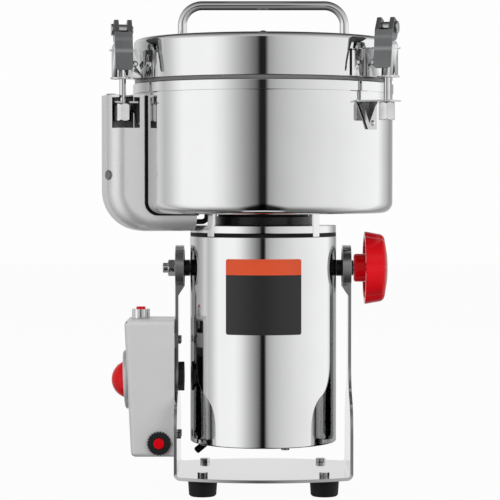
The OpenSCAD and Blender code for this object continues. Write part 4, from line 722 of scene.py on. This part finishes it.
def make_screen(scene, radius=1.85):
    """Gradient screen for the steel to mirror: a sphere's band, seen in reflections only."""
    side = np.linspace(-180, 180, 241)
    height = np.linspace(-80, 88, 57)
    turn, rise = np.radians(side - 90)[:, None], np.radians(height)[None, :]
    grid = np.stack([radius * np.cos(turn) * np.cos(rise), radius * np.sin(turn) * np.cos(rise),
                     radius * np.sin(rise) + 0 * turn + MIDDLE_Z], -1)
    mesh = bpy.data.meshes.new("reflection_screen")
    mesh.from_pydata(grid.reshape(-1, 3).tolist(), [], quads(*grid.shape[:2], False, False).tolist())
    glow = mesh.color_attributes.new("glow", "FLOAT_COLOR", "POINT")
    bright = screen_light(side, height).ravel()
    glow.data.foreach_set("color", np.stack([bright, bright, bright, np.ones_like(bright)], -1).ravel())
    material = bpy.data.materials.new("reflection_screen")
    material.use_nodes = True
    tree = material.node_tree
    tree.nodes.clear()
    out = tree.nodes.new("ShaderNodeOutputMaterial")
    light = tree.nodes.new("ShaderNodeEmission")
    colour = tree.nodes.new("ShaderNodeAttribute")
    colour.attribute_name = "glow"
    tree.links.new(colour.outputs["Color"], light.inputs["Color"])
    tree.links.new(light.outputs["Emission"], out.inputs["Surface"])
    mesh.materials.append(material)
    screen = bpy.data.objects.new("reflection_screen", mesh)
    scene.collection.objects.link(screen)
    screen.visible_camera = screen.visible_diffuse = screen.visible_shadow = False
    screen.visible_transmission = screen.visible_volume_scatter = False


def make_floor(scene, reach=6.0, white_share=0.96):
    """Pale floor, nearly white for the camera, that keeps a faint shadow."""
    mesh = bpy.data.meshes.new("floor")
    mesh.from_pydata([(-reach, -reach, 0), (reach, -reach, 0), (reach, reach, 0), (-reach, reach, 0)],
                     [], [(0, 1, 2, 3)])
    material = bpy.data.materials.new("floor")
    material.use_nodes = True
    tree = material.node_tree
    surface = tree.nodes["Principled BSDF"]
    surface.inputs["Base Color"].default_value = (0.5, 0.5, 0.5, 1)
    surface.inputs["Roughness"].default_value = 0.9
    surface.inputs["Specular IOR Level"].default_value = 0.1
    white = tree.nodes.new("ShaderNodeEmission")
    rays = tree.nodes.new("ShaderNodeLightPath")
    mix = tree.nodes.new("ShaderNodeMixShader")
    share = worked_out(tree, "MULTIPLY", rays.outputs["Is Camera Ray"], white_share)
    tree.links.new(share, mix.inputs["Fac"])
    tree.links.new(surface.outputs["BSDF"], mix.inputs[1])
    tree.links.new(white.outputs["Emission"], mix.inputs[2])
    tree.links.new(mix.outputs["Shader"], tree.nodes["Material Output"].inputs["Surface"])
    mesh.materials.append(material)
    floor = bpy.data.objects.new("floor", mesh)
    scene.collection.objects.link(floor)
    floor.visible_glossy = False


def make_world(scene):
    """Even soft light, which the camera, mirrors and glass see as nearly white."""
    world = bpy.data.worlds.new("studio")
    scene.world = world
    world.use_nodes = True
    tree = world.node_tree
    tree.nodes.clear()
    out = tree.nodes.new("ShaderNodeOutputWorld")
    seen = tree.nodes.new("ShaderNodeBackground")
    seen.inputs["Color"].default_value = (0.985, 0.985, 0.985, 1)
    lit = tree.nodes.new("ShaderNodeBackground")
    lit.inputs["Color"].default_value = (1, 1, 1, 1)
    lit.inputs["Strength"].default_value = 0.42
    rays = tree.nodes.new("ShaderNodeLightPath")
    mix = tree.nodes.new("ShaderNodeMixShader")
    direct = worked_out(tree, "MAXIMUM", rays.outputs["Is Camera Ray"], rays.outputs["Is Glossy Ray"])
    direct = worked_out(tree, "MAXIMUM", direct, rays.outputs["Is Transmission Ray"])
    tree.links.new(direct, mix.inputs["Fac"])
    tree.links.new(lit.outputs[0], mix.inputs[1])
    tree.links.new(seen.outputs[0], mix.inputs[2])
    tree.links.new(mix.outputs[0], out.inputs["Surface"])


def aimed(thing, place, target):
    """Puts a lamp or camera at a place and turns it to a target."""
    thing.location = place
    thing.rotation_euler = (Vector(target) - Vector(place)).to_track_quat("-Z", "Y").to_euler()


def make_lamp(scene, name, place, size, power):
    """Square soft lamp that shows in no mirror."""
    data = bpy.data.lights.new(name, "AREA")
    data.size = size
    data.energy = power
    lamp = bpy.data.objects.new(name, data)
    scene.collection.objects.link(lamp)
    aimed(lamp, place, (0, 0, MIDDLE_Z))
    lamp.visible_glossy = False
    lamp.visible_camera = False


class MILL_OT_stage(bpy.types.Operator):
    """Set up the floor, the studio light and the camera"""

    bl_idname = "mill.stage"
    bl_label = "Studio and camera"

    def execute(self, context):
        scene = context.scene
        dress = look()
        make_floor(scene)
        make_screen(scene)
        make_world(scene)
        for lamp in LAMPS:
            make_lamp(scene, *lamp)
        data = bpy.data.cameras.new("camera")
        data.sensor_width = 36
        data.lens = 151.2
        data.clip_start, data.clip_end = 0.05, 50
        camera = bpy.data.objects.new("camera", data)
        scene.collection.objects.link(camera)
        aimed(camera, (CAMERA_X, -dress.camera_distance, dress.camera_height),
              (CAMERA_X, 0, CAMERA_AIM_Z))
        scene.camera = camera
        scene.view_settings.view_transform = "Standard"
        return {"FINISHED"}


STEPS = (MILL_OT_finishes, MILL_OT_stand, MILL_OT_control_box, MILL_OT_lock_knob, MILL_OT_motor,
         MILL_OT_rotor, MILL_OT_bowl, MILL_OT_duct, MILL_OT_lid, MILL_OT_clamps, MILL_OT_stage)


class MILL_PT_panel(bpy.types.Panel):
    """Lists the steps that dress the mill"""

    bl_idname = "MILL_PT_panel"
    bl_label = "Grain Mill"
    bl_space_type = "VIEW_3D"
    bl_region_type = "UI"
    bl_category = "Grain Mill"

    def draw(self, context):
        for key in MillLook.__annotations__:
            self.layout.prop(context.scene.mill_look, key)
        for step in STEPS:
            self.layout.operator(step.bl_idname)


CLASSES = (MillLook, *STEPS, MILL_PT_panel)


def register():
    for cls in CLASSES:
        bpy.utils.register_class(cls)
    bpy.types.Scene.mill_look = bpy.props.PointerProperty(type=MillLook)


def unregister():
    del bpy.types.Scene.mill_look
    for cls in reversed(CLASSES):
        bpy.utils.unregister_class(cls)


def main():
    register()
    bpy.ops.mill.finishes()
    bpy.ops.mill.stand()
    bpy.ops.mill.control_box()
    bpy.ops.mill.lock_knob()
    bpy.ops.mill.motor()
    bpy.ops.mill.rotor()
    bpy.ops.mill.bowl()
    bpy.ops.mill.duct()
    bpy.ops.mill.lid()
    bpy.ops.mill.clamps()
    bpy.ops.mill.stage()


if __name__ == "__main__":
    main()
